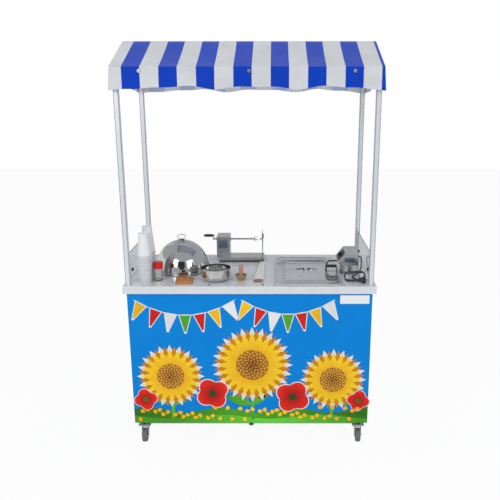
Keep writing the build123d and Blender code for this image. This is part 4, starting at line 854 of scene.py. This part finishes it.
class CART_OT_steamer(bpy.types.Operator):
    """Spins the steamer pot and its domed lid with the bowed handle"""

    bl_idname = "cart.steamer"
    bl_label = "Steamer"

    def execute(self, context):
        rings = [
            (0, -0.165), (0.120, -0.165), (0.130, -0.1635), (0.136, -0.156), (0.138, -0.146), (0.138, -0.002),
            (0.1395, -0.0002), (0.1565, -0.0002), (0.158, 0.0003), (0.158, 0.0010), (0.1572, 0.0015), (0.1385, 0.0015),
            (0.1372, 0.0005), (0.1368, -0.002), (0.1368, -0.146), (0.1350, -0.1550), (0.1295, -0.1618), (0.120, -0.1638),
            (0, -0.1638),
        ]
        lathe(rings, (*STEAMER, COUNTER), 96)
        settle("steamer_bowl", "brushed stainless", "cart", ("steamer_pot",))
        outside, inside = [], []
        for i in range(17):
            turn = pi / 2 * i / 17
            outside.append((0.148 * cos(turn), 0.004 + 0.162 * sin(turn)))
            inside.append((0.147 * cos(turn), 0.004 + 0.161 * sin(turn)))
        rim = [(0.147, 0.0004), (0.1485, 0), (0.1505, 0.0002), (0.1518, 0.0012), (0.152, 0.0024), (0.1512, 0.0036), (0.1495, 0.0040)]
        lathe(rim + outside + [(0, 0.166), (0, 0.165)] + inside[::-1] + [rim[0]], (*STEAMER, 0.9118), 128)
        settle("steamer_dome", "polished stainless", "dome", ("dome_lid",))
        top = 0.9118 + 0.166
        deselect()
        strap = bpy.data.curves.new("strap", "CURVE")
        strap.dimensions = "2D"
        strap.extrude = 0.0042
        strap.bevel_depth = 0.0008
        strap.resolution_u = 12
        bow = [
            (-0.0030, 0.0010), (-0.0140, 0.0012), (-0.0165, 0.0050), (-0.0135, 0.0090), (-0.0190, 0.0150), (-0.0250, 0.0200),
            (-0.0215, 0.0265), (-0.0100, 0.0300), (0.0100, 0.0300), (0.0215, 0.0265), (0.0250, 0.0200), (0.0190, 0.0150),
            (0.0135, 0.0090), (0.0165, 0.0050), (0.0140, 0.0012), (0.0030, 0.0010),
        ]
        spline = strap.splines.new("NURBS")
        spline.points.add(len(bow) - 1)
        for control, place in zip(spline.points, bow):
            control.co = (*place, 0, 1)
        spline.order_u = 3
        spline.use_endpoint_u = True
        handle = bpy.data.objects.new("handle", strap)
        context.collection.objects.link(handle)
        handle.select_set(True)
        context.view_layer.objects.active = handle
        bpy.ops.object.convert(target="MESH")
        handle = context.view_layer.objects.active
        handle.rotation_euler = (pi / 2, 0, 0)
        handle.location = (*STEAMER, top)
        saddle = slab((-0.0125, -0.0050, 0), (0.0125, 0.0050, 0.0062), 0.0016, 3)
        saddle.location = (STEAMER[0], STEAMER[1], top + 0.0034)
        rivets = [
            lathe([(0.0026, 0), (0.0026, 0.0012), (0.0014, 0.0022), (0, 0.0024)], (STEAMER[0] + x, STEAMER[1], top + 0.0062), 20)
            for x in (-0.007, 0.007)
        ]
        joined([handle, saddle, *rivets])
        settle("dome_bow", "dark bow steel", "dome", ("dome_handle",))
        return {"FINISHED"}


class CART_OT_tank_ware(bpy.types.Operator):
    """Bends the basket handle that lies on the tank lid, beads the lid and paints a black spot of shadow on it"""

    bl_idname = "cart.tank_ware"
    bl_label = "Basket handle"

    def execute(self, context):
        z = 0.9298
        frame_wires = [
            wire([(0.412, -0.086, 0.954), (0.407, -0.125, 0.948), (0.402, -0.200, z), (0.404, -0.262, z), (0.420, -0.275, z),
                  (0.440, -0.276, z), (0.455, -0.262, z), (0.459, -0.200, z), (0.462, -0.125, 0.948), (0.4615, -0.086, 0.954)],
                 0.0023, 3, 8, 3),
            wire([(0.4055, -0.150, 0.9425), (0.420, -0.152, 0.9425), (0.446, -0.152, 0.9425), (0.4605, -0.150, 0.9425)], 0.0018),
            wire([(0.4025, -0.210, z), (0.420, -0.210, z + 0.001), (0.440, -0.210, z + 0.001), (0.4585, -0.210, z)], 0.0018),
        ]
        joined(frame_wires)
        settle("basket_wires", "browned wire", "tank_lid", ("basket_handle",))
        wire([(0.4075, -0.086, 0.9275), (0.4080, -0.086, 0.945), (0.4095, -0.086, 0.966), (0.4165, -0.086, 0.9795),
              (0.432, -0.086, 0.9815), (0.450, -0.086, 0.9823), (0.4680, -0.086, 0.9825)], 0.0046, 3, 8, 5)
        settle("basket_arm", "browned wire", "tank_lid")
        rings = [(0.0032, 0), (0.0070, 0), (0.0080, 0.0015), (0.0080, 0.0060), (0.0072, 0.0080), (0.0078, 0.0130),
                 (0.0080, 0.0300), (0.0078, 0.0450), (0.0072, 0.0500), (0.0080, 0.0520), (0.0080, 0.0560), (0.0068, 0.0580), (0, 0.0580)]
        lathe(rings, (0.407, -0.086, 0.9528), 32, (0, pi / 2, 0))
        settle("basket_grip", "black plastic", "tank_lid")
        pressed = []
        for low, high, z in (((0.1325, -0.3125), (0.4675, 0.1985), 0.9200), ((0.1700, -0.2755), (0.4020, 0.1335), 0.9259)):
            (x0, y0), (x1, y1) = low, high
            corner = 0.012
            loop = [(x0 + corner, y0, z), (x1 - corner, y0, z), (x1, y0, z), (x1, y0 + corner, z), (x1, y1 - corner, z), (x1, y1, z),
                    (x1 - corner, y1, z), (x0 + corner, y1, z), (x0, y1, z), (x0, y1 - corner, z), (x0, y0 + corner, z),
                    (x0, y0, z), (x0 + corner, y0, z)]
            pressed.append(wire(loop, 0.0016, 3, 4, 4))
        joined(pressed)
        settle("lid_beads", "polished stainless", "tank_lid")
        # Painted shadow: a flat black disc where the shadow under the lid's handle falls.
        lathe([(0, 0), (0.0035, 0), (0.0035, 0.0008), (0.0028, 0.0012), (0, 0.0012)], (0.280, -0.114, 0.9262), 24)
        settle("lid_shadow_spot", "mark black", "tank_lid")
        return {"FINISHED"}


class CART_OT_twister(bpy.types.Operator):
    """Finishes the potato twister with its grip, badge plate, base strip and blade screws"""

    bl_idname = "cart.twister"
    bl_label = "Potato twister"

    def execute(self, context):
        grip = [
            (0.0037, 0), (0.0062, 0), (0.0070, 0.0012), (0.0076, 0.0080), (0.0086, 0.0180), (0.0085, 0.0330),
            (0.0080, 0.0450), (0.0070, 0.0520), (0.0052, 0.0540), (0.0037, 0.0540), (0.0037, 0),
        ]
        lathe(grip, (-0.235, 0.25924, 1.04368), 36, (0, -pi / 2, 0))
        settle("twister_grip", "black plastic", "crank_grip", ("crank_grip",))
        slab((-0.196, 0.1496, 0.992), (-0.146, 0.1508, 1.038), 0.0005, 2)
        settle("column_badge", "blank badge", "cart")
        slab((-0.1905, 0.1494, 0.9105), (0.0655, 0.1509, 0.9200), 0.0005, 2)
        settle("base_strip", "dark twister base", "cart")
        screws = []
        for y, z in ((0.170, 0.946), (0.250, 0.946), (0.170, 1.068), (0.250, 1.068)):
            screws.append(lathe([(0.0042, 0), (0.0042, 0.0010), (0.0030, 0.0022), (0.0012, 0.0026), (0, 0.0026)],
                                (0.0551, y, z), 20, (0, -pi / 2, 0)))
        joined(screws)
        settle("blade_screws", "zinc plate", "cart")
        return {"FINISHED"}


class CART_OT_electric_head(bpy.types.Operator):
    """Finishes the electric head with its drum sleeve, dial, blank badge and lid seam"""

    bl_idname = "cart.electric_head"
    bl_label = "Electric head"

    def execute(self, context):
        rings = [
            (0.0494, 0.0002), (0.0520, 0.0002), (0.0524, 0.0012), (0.0520, 0.0024), (0.0503, 0.0030), (0.0501, 0.0200),
            (0.0506, 0.0215), (0.0501, 0.0230), (0.0501, 0.0495), (0.0498, 0.0515), (0.0494, 0.0515),
        ]
        lathe(rings, (0.5335, -0.066, COUNTER), 72)
        settle("head_drum_sleeve", "brushed stainless", "cart")
        tilt = -atan2(0.7894, 0.6139)
        knob = [
            (0, 0.0024), (0.0128, 0.0024), (0.0130, 0.0030), (0.0128, 0.0062), (0.0112, 0.0070), (0.0104, 0.0074), (0, 0.0074),
        ]
        dial = lathe(knob, (0.492, -0.028, 1.001), 48, (0, tilt, 0))
        grip = slab((-0.0108, -0.0025, 0.0070), (0.0108, 0.0025, 0.0160), 0.0009, 2)
        grip.rotation_euler = (0, tilt, 0)
        centre = (0.0, 0.0, 0.0115)
        grip.location = (0.492 + sin(tilt) * centre[2], -0.028, 1.001 + cos(tilt) * centre[2])
        joined([dial, grip])
        settle("dial_knob", "black plastic", "head_dial", ("head_dial",), 30)
        slab((0.505, -0.1172, 0.9805), (0.560, -0.1158, 1.0035), 0.0006, 2)
        settle("head_badge", "blank badge", "cart")
        rim = [(0.4730, -0.1163, 0.9740), (0.5805, -0.1163, 0.9740)]
        slab((rim[0][0] + 0.018, -0.1168, 0.9622), (0.5800, -0.1160, 0.9650), 0.0003, 1)
        settle("head_seam", "zinc plate", "cart")
        return {"FINISHED"}


class CART_OT_wheels(bpy.types.Operator):
    """Turns the four caster wheels with their treads and hub caps"""

    bl_idname = "cart.wheels"
    bl_label = "Caster wheels"

    def execute(self, context):
        tread = [
            (0.0250, -0.0110), (0.0300, -0.0120), (0.0345, -0.0122), (0.0366, -0.0112), (0.03745, -0.0080), (0.0375, -0.0030),
            (0.0375, 0.0030), (0.03745, 0.0080), (0.0366, 0.0112), (0.0345, 0.0122), (0.0300, 0.0120), (0.0250, 0.0110),
            (0.0250, -0.0110),
        ]
        centre = [
            (0.0252, -0.0105), (0.0235, -0.0110), (0.0220, -0.0095), (0.0205, -0.0072), (0.0125, -0.0072), (0.0112, -0.0090),
            (0.0105, -0.0122), (0.0048, -0.0122), (0.0048, 0.0122), (0.0105, 0.0122), (0.0112, 0.0090), (0.0125, 0.0072),
            (0.0205, 0.0072), (0.0220, 0.0095), (0.0235, 0.0110), (0.0252, 0.0105), (0.0252, -0.0105),
        ]
        for side_x, x in (("left", -0.587), ("right", 0.587)):
            for side_y, y in (("front", -0.280), ("rear", 0.244)):
                corner = f"{side_y}_{side_x}"
                lathe(tread, (x, y, 0.0375), 64, (0, pi / 2, 0))
                settle(f"tread_{corner}", "grey tread", f"wheel_{corner}", (f"caster_wheel_{corner}",))
                lathe(centre, (x, y, 0.0375), 48, (0, pi / 2, 0))
                settle(f"wheel_centre_{corner}", "grey wheel centre", f"wheel_{corner}")
        return {"FINISHED"}


# The front panel's print

def flat_shape(outline, depth_layer, centre, turn=0.0):
    """A thin flat shape on the front panel, from its outline round its own centre."""
    deselect()
    bpy.ops.mesh.primitive_circle_add(vertices=len(outline), radius=1, fill_type="NGON")
    piece = bpy.context.view_layer.objects.active
    for vertex, (x, z) in zip(piece.data.vertices, outline):
        vertex.co = (x * cos(turn) - z * sin(turn), 0, x * sin(turn) + z * cos(turn))
    edit_all()
    thick = 0.0003
    bpy.ops.mesh.extrude_region_move(TRANSFORM_OT_translate={"value": (0, -thick, 0)})
    close_up()
    piece.location = (centre[0], PANEL_FACE - thick * depth_layer * 0.7, centre[1])
    return piece


def ring_points(radius, count=48, squash=1.0):
    """Points of a circle or an oval."""
    return [(radius * cos(2 * pi * i / count), radius * squash * sin(2 * pi * i / count)) for i in range(count)]


def petal_points(length, width, tip=1.6):
    """Points of a petal or leaf that grows from the origin along +X."""
    points = []
    for i in range(15):
        share = i / 14
        points.append((length * share, width / 2 * sin(pi * share ** (1 / tip)) ** 0.9))
    return points + [(x, -z) for x, z in points[-2:0:-1]]


def drop_points(length, width):
    """Points of a rounded kernel with a narrow foot."""
    return [(width / 2 * sin(t) * (1 - 0.35 * cos(t)), -length / 2 * cos(t)) for t in (2 * pi * i / 20 for i in range(20))]


def wave_points(left, right, low, high, swell, waves, phase):
    """Points of a band with a wavy upper edge."""
    steps = 64
    points = [(left, low), (right, low)]
    for i in range(steps + 1):
        x = right + (left - right) * i / steps
        points.append((x, high + swell * sin(2 * pi * waves * (x - left) / (right - left) + phase)))
    return points


def printed(pieces, name, finish):
    """Joins the shapes of one ink and settles them on the cart."""
    joined(pieces)
    return settle(name, finish, "cart", smooth=0)


def blossom(centre, radius, count, layer, petal_width, start=0.0):
    """A ring of petals round a centre."""
    petals = []
    for i in range(count):
        turn = start + 2 * pi * i / count
        petals.append(flat_shape(petal_points(radius, petal_width), layer + (i % 4) * 0.3, centre, turn))
    return petals


class CART_OT_print(bpy.types.Operator):
    """Prints the front panel with golden flowers, poppies, leaves and a string of flags"""

    bl_idname = "cart.print"
    bl_label = "Panel print"

    def execute(self, context):
        c = colours()
        petal, poppy, leaf = tuple(c.petal), tuple(c.poppy), tuple(c.leaf)
        white = (0.88, 0.88, 0.87)
        flowers = (
            ("left", (-0.425, 0.405), 0.172, 20, 0.062),
            ("middle", (0.010, 0.470), 0.205, 24, 0.066),
            ("right", (0.440, 0.385), 0.168, 20, 0.060),
        )
        meadow = print_material("meadow ink", shade(leaf, 1.15), shade(leaf, 0.5), (0, -0.312, 0.20), 0.62)
        band = [flat_shape(wave_points(-0.6315, 0.6315, 0.1285, 0.205, 0.016, 3.2, 0.4), 1, (0, 0))]
        printed(band, "print_meadow", meadow.name)
        hill = print_material("hill ink", shade(leaf, 2.1), shade(leaf, 1.0), (0.1, -0.312, 0.14), 0.5)
        printed([flat_shape(wave_points(-0.6315, 0.6315, 0.1285, 0.166, 0.012, 2.3, 2.6), 2, (0, 0))], "print_hill", hill.name)
        for word, (x, z), radius, count, width in flowers:
            stem_ink = print_material(f"{word} stem ink", shade(leaf, 1.5), shade(leaf, 0.6), (x, -0.312, z - 0.2), 0.22)
            bend = 0.02 * sin(9 * x)
            stalk = [(-0.008, 0.15 - z), (0.008, 0.15 - z), (0.010 + bend, -0.1), (0.007, 0.0), (-0.007, 0.0), (-0.009 + bend, -0.1)]
            leaves = [flat_shape(stalk, 3, (x, z))]
            for side in (-1, 1):
                for low, size in ((0.055, 0.150), (0.105, 0.115)):
                    lift = radians(35 + 20 * side * sin(5 * x + low * 40))
                    turn = lift if side > 0 else pi - lift
                    foot = (x + side * 0.006, 0.185 + low)
                    leaves.append(flat_shape(petal_points(size, 0.052, 1.2), 3.4, foot, turn))
            printed(leaves, f"print_{word}_leaves", stem_ink.name)
            white_ink = print_material(f"{word} outline ink", white, shade(white, 0.85), (x, -0.312, z), radius)
            printed(blossom((x, z), radius * 1.05, count, 4.5, width * 1.22), f"print_{word}_outline", white_ink.name)
            back_ink = print_material(f"{word} back petal ink", shade(petal, 0.72), (0.62, 0.20, 0.004), (x, -0.312, z), radius)
            printed(blossom((x, z), radius, count, 6, width, pi / count), f"print_{word}_back_petals", back_ink.name)
            gold = print_material(f"{word} petal ink", (0.80, 0.30, 0.004), (1.0, 0.74, 0.03), (x, -0.312, z), radius)
            printed(blossom((x, z), radius * 0.92, count, 7.5, width * 0.86), f"print_{word}_petals", gold.name)
            seed_ink = print_material(f"{word} seed ink", (0.16, 0.045, 0.008), (0.42, 0.16, 0.02), (x, -0.312, z), radius * 0.36)
            printed([flat_shape(ring_points(radius * 0.42, 56), 9, (x, z))], f"print_{word}_seeds", seed_ink.name)
            grains = []
            for k in range(70):
                reach, turn = radius * 0.40 * ((k + 0.5) / 70) ** 0.5, k * 2.39996
                place = (x + reach * cos(turn), z + reach * sin(turn))
                grains.append(flat_shape([(0.4 * a, 0.4 * b) for a, b in drop_points(0.026, 0.018)], 10, place, turn + pi / 2))
            grain_ink = print_material(f"{word} grain ink", (0.62, 0.30, 0.04), (0.86, 0.52, 0.08), (x, -0.312, z), radius * 0.36)
            printed(grains, f"print_{word}_grains", grain_ink.name)
        poppies = ((-0.205, 0.305, 0.088), (-0.565, 0.270, 0.062), (0.225, 0.285, 0.092), (0.578, 0.262, 0.060))
        outlines, heads, eyes = [], [], []
        for x, z, radius in poppies:
            for i in range(4):
                turn = pi / 4 + pi / 2 * i + x
                place = (x + radius * 0.42 * cos(turn), z + radius * 0.42 * sin(turn))
                outlines.append(flat_shape(ring_points(radius * 0.64, 28, 0.9), 11, place, turn))
                heads.append(flat_shape(ring_points(radius * 0.58, 28, 0.9), 12 + 0.8 * i, place, turn))
            eyes.append(flat_shape(ring_points(radius * 0.24, 24), 16, (x, z)))
        printed(outlines, "print_poppy_outlines", print_material("poppy outline ink", white, shade(white, 0.9), (0, -0.312, 0.3), 0.5).name)
        for i, (x, z, radius) in enumerate(poppies):
            ink = print_material(f"poppy ink {i}", shade(poppy, 0.45), shade(poppy, 1.25), (x, -0.312, z), radius)
            printed(heads[4 * i:4 * i + 4], f"print_poppy_{i}", ink.name)
        printed(eyes, "print_poppy_eyes", print_material("poppy eye ink", (0.02, 0.02, 0.015), (0.10, 0.16, 0.02), (0, -0.312, 0.3), 0.6).name)
        petals_seen = []
        for k in range(46):
            x = -0.60 + 1.2 * ((k * 0.618034) % 1.0)
            z = 0.150 + 0.075 * ((k * 0.754877) % 1.0)
            petals_seen.append(flat_shape(drop_points(0.026, 0.021), 14, (x, z), 1.7 * k))
        scatter = print_material("scatter ink", (1.0, 0.66, 0.02), (0.90, 0.38, 0.005), (0, -0.312, 0.17), 0.7)
        printed(petals_seen, "print_scatter", scatter.name)
        self.hang_flags(poppy, petal, leaf, white)
        slab((0.466, -0.3135, 0.813), (0.617, -0.3121, 0.859), 0.0004, 1)
        settle("panel_label", "blank label", "cart")
        return {"FINISHED"}

    def hang_flags(self, poppy, petal, leaf, white):
        """Two swags of little flags across the top of the panel."""
        inks = {
            "red": (poppy, []), "gold": (petal, []), "white": (white, []), "green": (shade(leaf, 1.3), []),
        }
        order = ("gold", "red", "white", "green", "red", "gold", "white")
        edging = []
        swags = ((-0.600, -0.075, 0.835, 0.085), (-0.045, 0.440, 0.835, 0.080))
        index = 0
        for left, right, high, dip in swags:
            count = 7
            points = []
            for k in range(25):
                share = k / 24
                points.append((left + (right - left) * share, PANEL_FACE - 0.0012, high - dip * 4 * share * (1 - share)))
            wire(points, 0.0016, 3, 3, 2)
            settle(f"print_swag_{index // 7}", "blank label", "cart", smooth=30)
            for i in range(count):
                share = (i + 0.5) / count
                x = left + (right - left) * share
                z = high - dip * 4 * share * (1 - share)
                slope = atan2(-dip * 4 * (1 - 2 * share), right - left)
                wide, deep = 0.058, 0.092
                flag = [(-wide / 2, 0), (wide / 2, 0), (0.004, -deep), (-0.004, -deep)]
                rim = [(-wide / 2 - 0.006, 0.004), (wide / 2 + 0.006, 0.004), (0.005, -deep - 0.010), (-0.005, -deep - 0.010)]
                edging.append(flat_shape(rim, 1, (x, z), slope))
                inks[order[index % 7]][1].append(flat_shape(flag, 2.4, (x, z), slope))
                index += 1
        printed(edging, "print_flag_edges", print_material("flag edge ink", white, shade(white, 0.9), (0, -0.312, 0.8), 0.8).name)
        for word, (ink, flags) in inks.items():
            material = print_material(f"{word} flag ink", ink, shade(ink, 0.8), (0, -0.312, 0.86), 0.5)
            printed(flags, f"print_{word}_flags", material.name)


# Small trim and CAD finishes

class CART_OT_trim(bpy.types.Operator):
    """Adds the fascia's corner clips, the counter marks and the glass edges"""

    bl_idname = "cart.trim"
    bl_label = "Trim"

    def execute(self, context):
        clips = []
        for x in (-0.6425, 0.6425):
            for y in (-0.3155, 0.3155):
                clips.append(slab((x - 0.006, y - 0.006, 0.8705), (x + 0.006, y + 0.006, 0.8790), 0.0012, 2))
        joined(clips)
        settle("corner_clips", "mark black", "cart")
        marks = []
        for x, y in ((-0.208, -0.298), (0.067, -0.295)):
            marks.append(lathe([(0, 0), (0.0058, 0), (0.0058, 0.0016), (0.0046, 0.0028), (0, 0.0030)], (x, y, COUNTER), 28))
        joined(marks)
        settle("counter_studs", "mark black", "cart")
        for side, x in (("left", -0.623), ("right", 0.623)):
            low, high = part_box(f"{side}_glass")
            strips = [
                slab((x - 0.0026, low[1] + 0.002, high[2] - 0.0012), (x + 0.0026, high[1] - 0.002, high[2] + 0.0002), 0.0003, 1),
                slab((x - 0.0026, low[1] - 0.0002, low[2] + 0.002), (x + 0.0026, low[1] + 0.0010, high[2] - 0.001), 0.0003, 1),
                slab((x - 0.0026, high[1] - 0.0010, low[2] + 0.002), (x + 0.0026, high[1] + 0.0002, high[2] - 0.001), 0.0003, 1),
            ]
            joined(strips)
            settle(f"{side}_glass_edges", "green glass edge", "cart")
        return {"FINISHED"}


class CART_OT_finishes(bpy.types.Operator):
    """Gives every kept CAD piece its finish"""

    bl_idname = "cart.finishes"
    bl_label = "Finishes"

    def execute(self, context):
        corners = ("front_left", "front_right", "rear_left", "rear_right")
        refinish("grey frame paint", "base_frame")
        refinish("zinc plate", "caster_plates", "hinge_knuckles", "right_door_pull", "left_door_pull", "post_spigots",
                 "cover_screws", *(f"caster_fork_{corner}" for corner in corners))
        refinish("folded sheet steel", "cabinet_floor", "rear_frame", "right_door", "left_door")
        refinish("panel print ground", "front_panel", "right_panel", "left_panel")
        refinish("white worktop", "worktop")
        refinish("white aluminium", "roof_frame")
        refinish("post profile with painted corner shade", "canopy_posts")
        refinish("clear side glass", "right_glass", "left_glass")
        refinish("black plastic", "glass_clips", "dial_panel")
        refinish("heater iron", "pot_heater")
        refinish("brushed stainless lid", "tank_lid")
        refinish("polished stainless", "tongs")
        refinish("brushed stainless", "steam_rack", "fryer_tank", "twister_base", "twister_column", "drive_sleeve",
                 "feed_rod", "crank", "blade_plate", "twister_blade", "electric_head")
        return {"FINISHED"}


class CART_OT_stage(bpy.types.Operator):
    """Lays the pale floor and sets the studio light"""

    bl_idname = "cart.stage"
    bl_label = "Studio"

    def execute(self, context):
        scene = context.scene
        scene.view_settings.view_transform = "Standard"
        deselect()
        bpy.ops.mesh.primitive_plane_add(size=24, location=(0, 0, -0.0006))
        floor = context.view_layer.objects.active
        bpy.ops.object.transform_apply(location=True, rotation=True, scale=True)
        floor.name = "studio_floor"
        paper = bpy.data.materials.new("studio paper")
        paper.use_nodes = True
        tree = paper.node_tree
        tree.nodes.clear()
        output = tree.nodes.new("ShaderNodeOutputMaterial")
        diffuse = tree.nodes.new("ShaderNodeBsdfDiffuse")
        diffuse.inputs["Color"].default_value = (0.90, 0.90, 0.90, 1)
        glow = tree.nodes.new("ShaderNodeEmission")
        glow.inputs["Color"].default_value = (1, 1, 1, 1)
        glow.inputs["Strength"].default_value = 1.0
        path = tree.nodes.new("ShaderNodeLightPath")
        share = tree.nodes.new("ShaderNodeMath")
        share.operation = "MULTIPLY"
        share.inputs[1].default_value = 0.94
        mix = tree.nodes.new("ShaderNodeMixShader")
        tree.links.new(path.outputs["Is Camera Ray"], share.inputs[0])
        tree.links.new(share.outputs[0], mix.inputs[0])
        tree.links.new(diffuse.outputs[0], mix.inputs[1])
        tree.links.new(glow.outputs[0], mix.inputs[2])
        tree.links.new(mix.outputs[0], output.inputs["Surface"])
        floor.data.materials.append(paper)
        world = bpy.data.worlds.new("studio")
        scene.world = world
        world.use_nodes = True
        tree = world.node_tree
        back = tree.nodes["Background"]
        back.inputs["Color"].default_value = (0.93, 0.95, 1.0, 1)
        back.inputs["Strength"].default_value = 0.55
        bright = tree.nodes.new("ShaderNodeBackground")
        bright.inputs["Color"].default_value = (1, 1, 1, 1)
        bright.inputs["Strength"].default_value = 1.0
        path = tree.nodes.new("ShaderNodeLightPath")
        either = tree.nodes.new("ShaderNodeMath")
        either.operation = "MAXIMUM"
        mix = tree.nodes.new("ShaderNodeMixShader")
        tree.links.new(path.outputs["Is Camera Ray"], either.inputs[0])
        tree.links.new(path.outputs["Is Transmission Ray"], either.inputs[1])
        tree.links.new(either.outputs[0], mix.inputs[0])
        tree.links.new(back.outputs[0], mix.inputs[1])
        tree.links.new(bright.outputs[0], mix.inputs[2])
        tree.links.new(mix.outputs[0], tree.nodes["World Output"].inputs["Surface"])
        lamps = (
            ("key_lamp", (-2.4, -3.6, 3.0), (68, 0, -32), 2.2, 66.0),
            ("fill_lamp", (2.8, -3.2, 2.6), (68, 0, 42), 2.4, 40.0),
            ("top_lamp", (0.0, 0.4, 4.4), (0, 0, 0), 2.6, 16.0),
        )
        for name, place, turn, size, power in lamps:
            light = bpy.data.lights.new(name, "AREA")
            light.shape = "SQUARE"
            light.size = size
            light.energy = power
            lamp = bpy.data.objects.new(name, light)
            lamp.location = place
            lamp.rotation_euler = [radians(angle) for angle in turn]
            context.collection.objects.link(lamp)
        dark = base_material("studio board", (0.035, 0.035, 0.038), 0.8)
        boards = (
            ((-0.5, -4.8, 3.1), (3.6, 0.02, 2.2), 0), ((0.7, -5.2, 0.75), (1.6, 0.02, 0.9), 0), ((3.2, -3.0, 2.0), (0.02, 1.6, 2.4), 0),
            ((0.0, -4.2, 1.9), (1.5, 0.02, 1.3), 0),
        )
        for index, (place, size, turn) in enumerate(boards):
            deselect()
            bpy.ops.mesh.primitive_cube_add(size=1, location=place)
            board = context.view_layer.objects.active
            board.scale = size
            board.rotation_euler = (0, 0, radians(turn))
            bpy.ops.object.transform_apply(location=True, rotation=True, scale=True)
            board.name = f"studio_board_{index}"
            board.data.materials.append(dark)
            board.visible_camera = False
            board.visible_diffuse = False
            board.visible_shadow = False
        return {"FINISHED"}


class CART_PT_sidebar(bpy.types.Panel):
    """Lists the cart's makers, sizes and colours"""

    bl_label = "Food cart"
    bl_idname = "CART_PT_sidebar"
    bl_space_type = "VIEW_3D"
    bl_region_type = "UI"
    bl_category = "Food cart"

    def draw(self, context):
        for group in (context.scene.cart_sizes, context.scene.cart_colours):
            box = self.layout.box()
            for key in group.__annotations__:
                box.prop(group, key)
        for maker in MAKERS:
            self.layout.operator(maker.bl_idname)


MAKERS = (
    CART_OT_camera, CART_OT_cord, CART_OT_canopy, CART_OT_cups, CART_OT_jar, CART_OT_sponge, CART_OT_bowls,
    CART_OT_skewers, CART_OT_steamer, CART_OT_tank_ware, CART_OT_twister, CART_OT_electric_head, CART_OT_wheels,
    CART_OT_print, CART_OT_trim, CART_OT_finishes, CART_OT_stage,
)
CLASSES = (CartColours, CartSizes, *MAKERS, CART_PT_sidebar)


def register():
    """Registers every class and hangs the settings on the scene."""
    for cls in CLASSES:
        bpy.utils.register_class(cls)
    bpy.types.Scene.cart_colours = PointerProperty(type=CartColours)
    bpy.types.Scene.cart_sizes = PointerProperty(type=CartSizes)


def unregister():
    """Takes the classes and settings off again."""
    del bpy.types.Scene.cart_colours
    del bpy.types.Scene.cart_sizes
    for cls in reversed(CLASSES):
        bpy.utils.unregister_class(cls)


def main():
    """Makes the whole cart."""
    register()
    make_finishes()
    for maker in MAKERS:
        group, name = maker.bl_idname.split(".")
        result = getattr(getattr(bpy.ops, group), name)()
        if result != {"FINISHED"}:
            raise RuntimeError(f"{maker.bl_idname} did not finish")


if __name__ == "__main__":
    main()
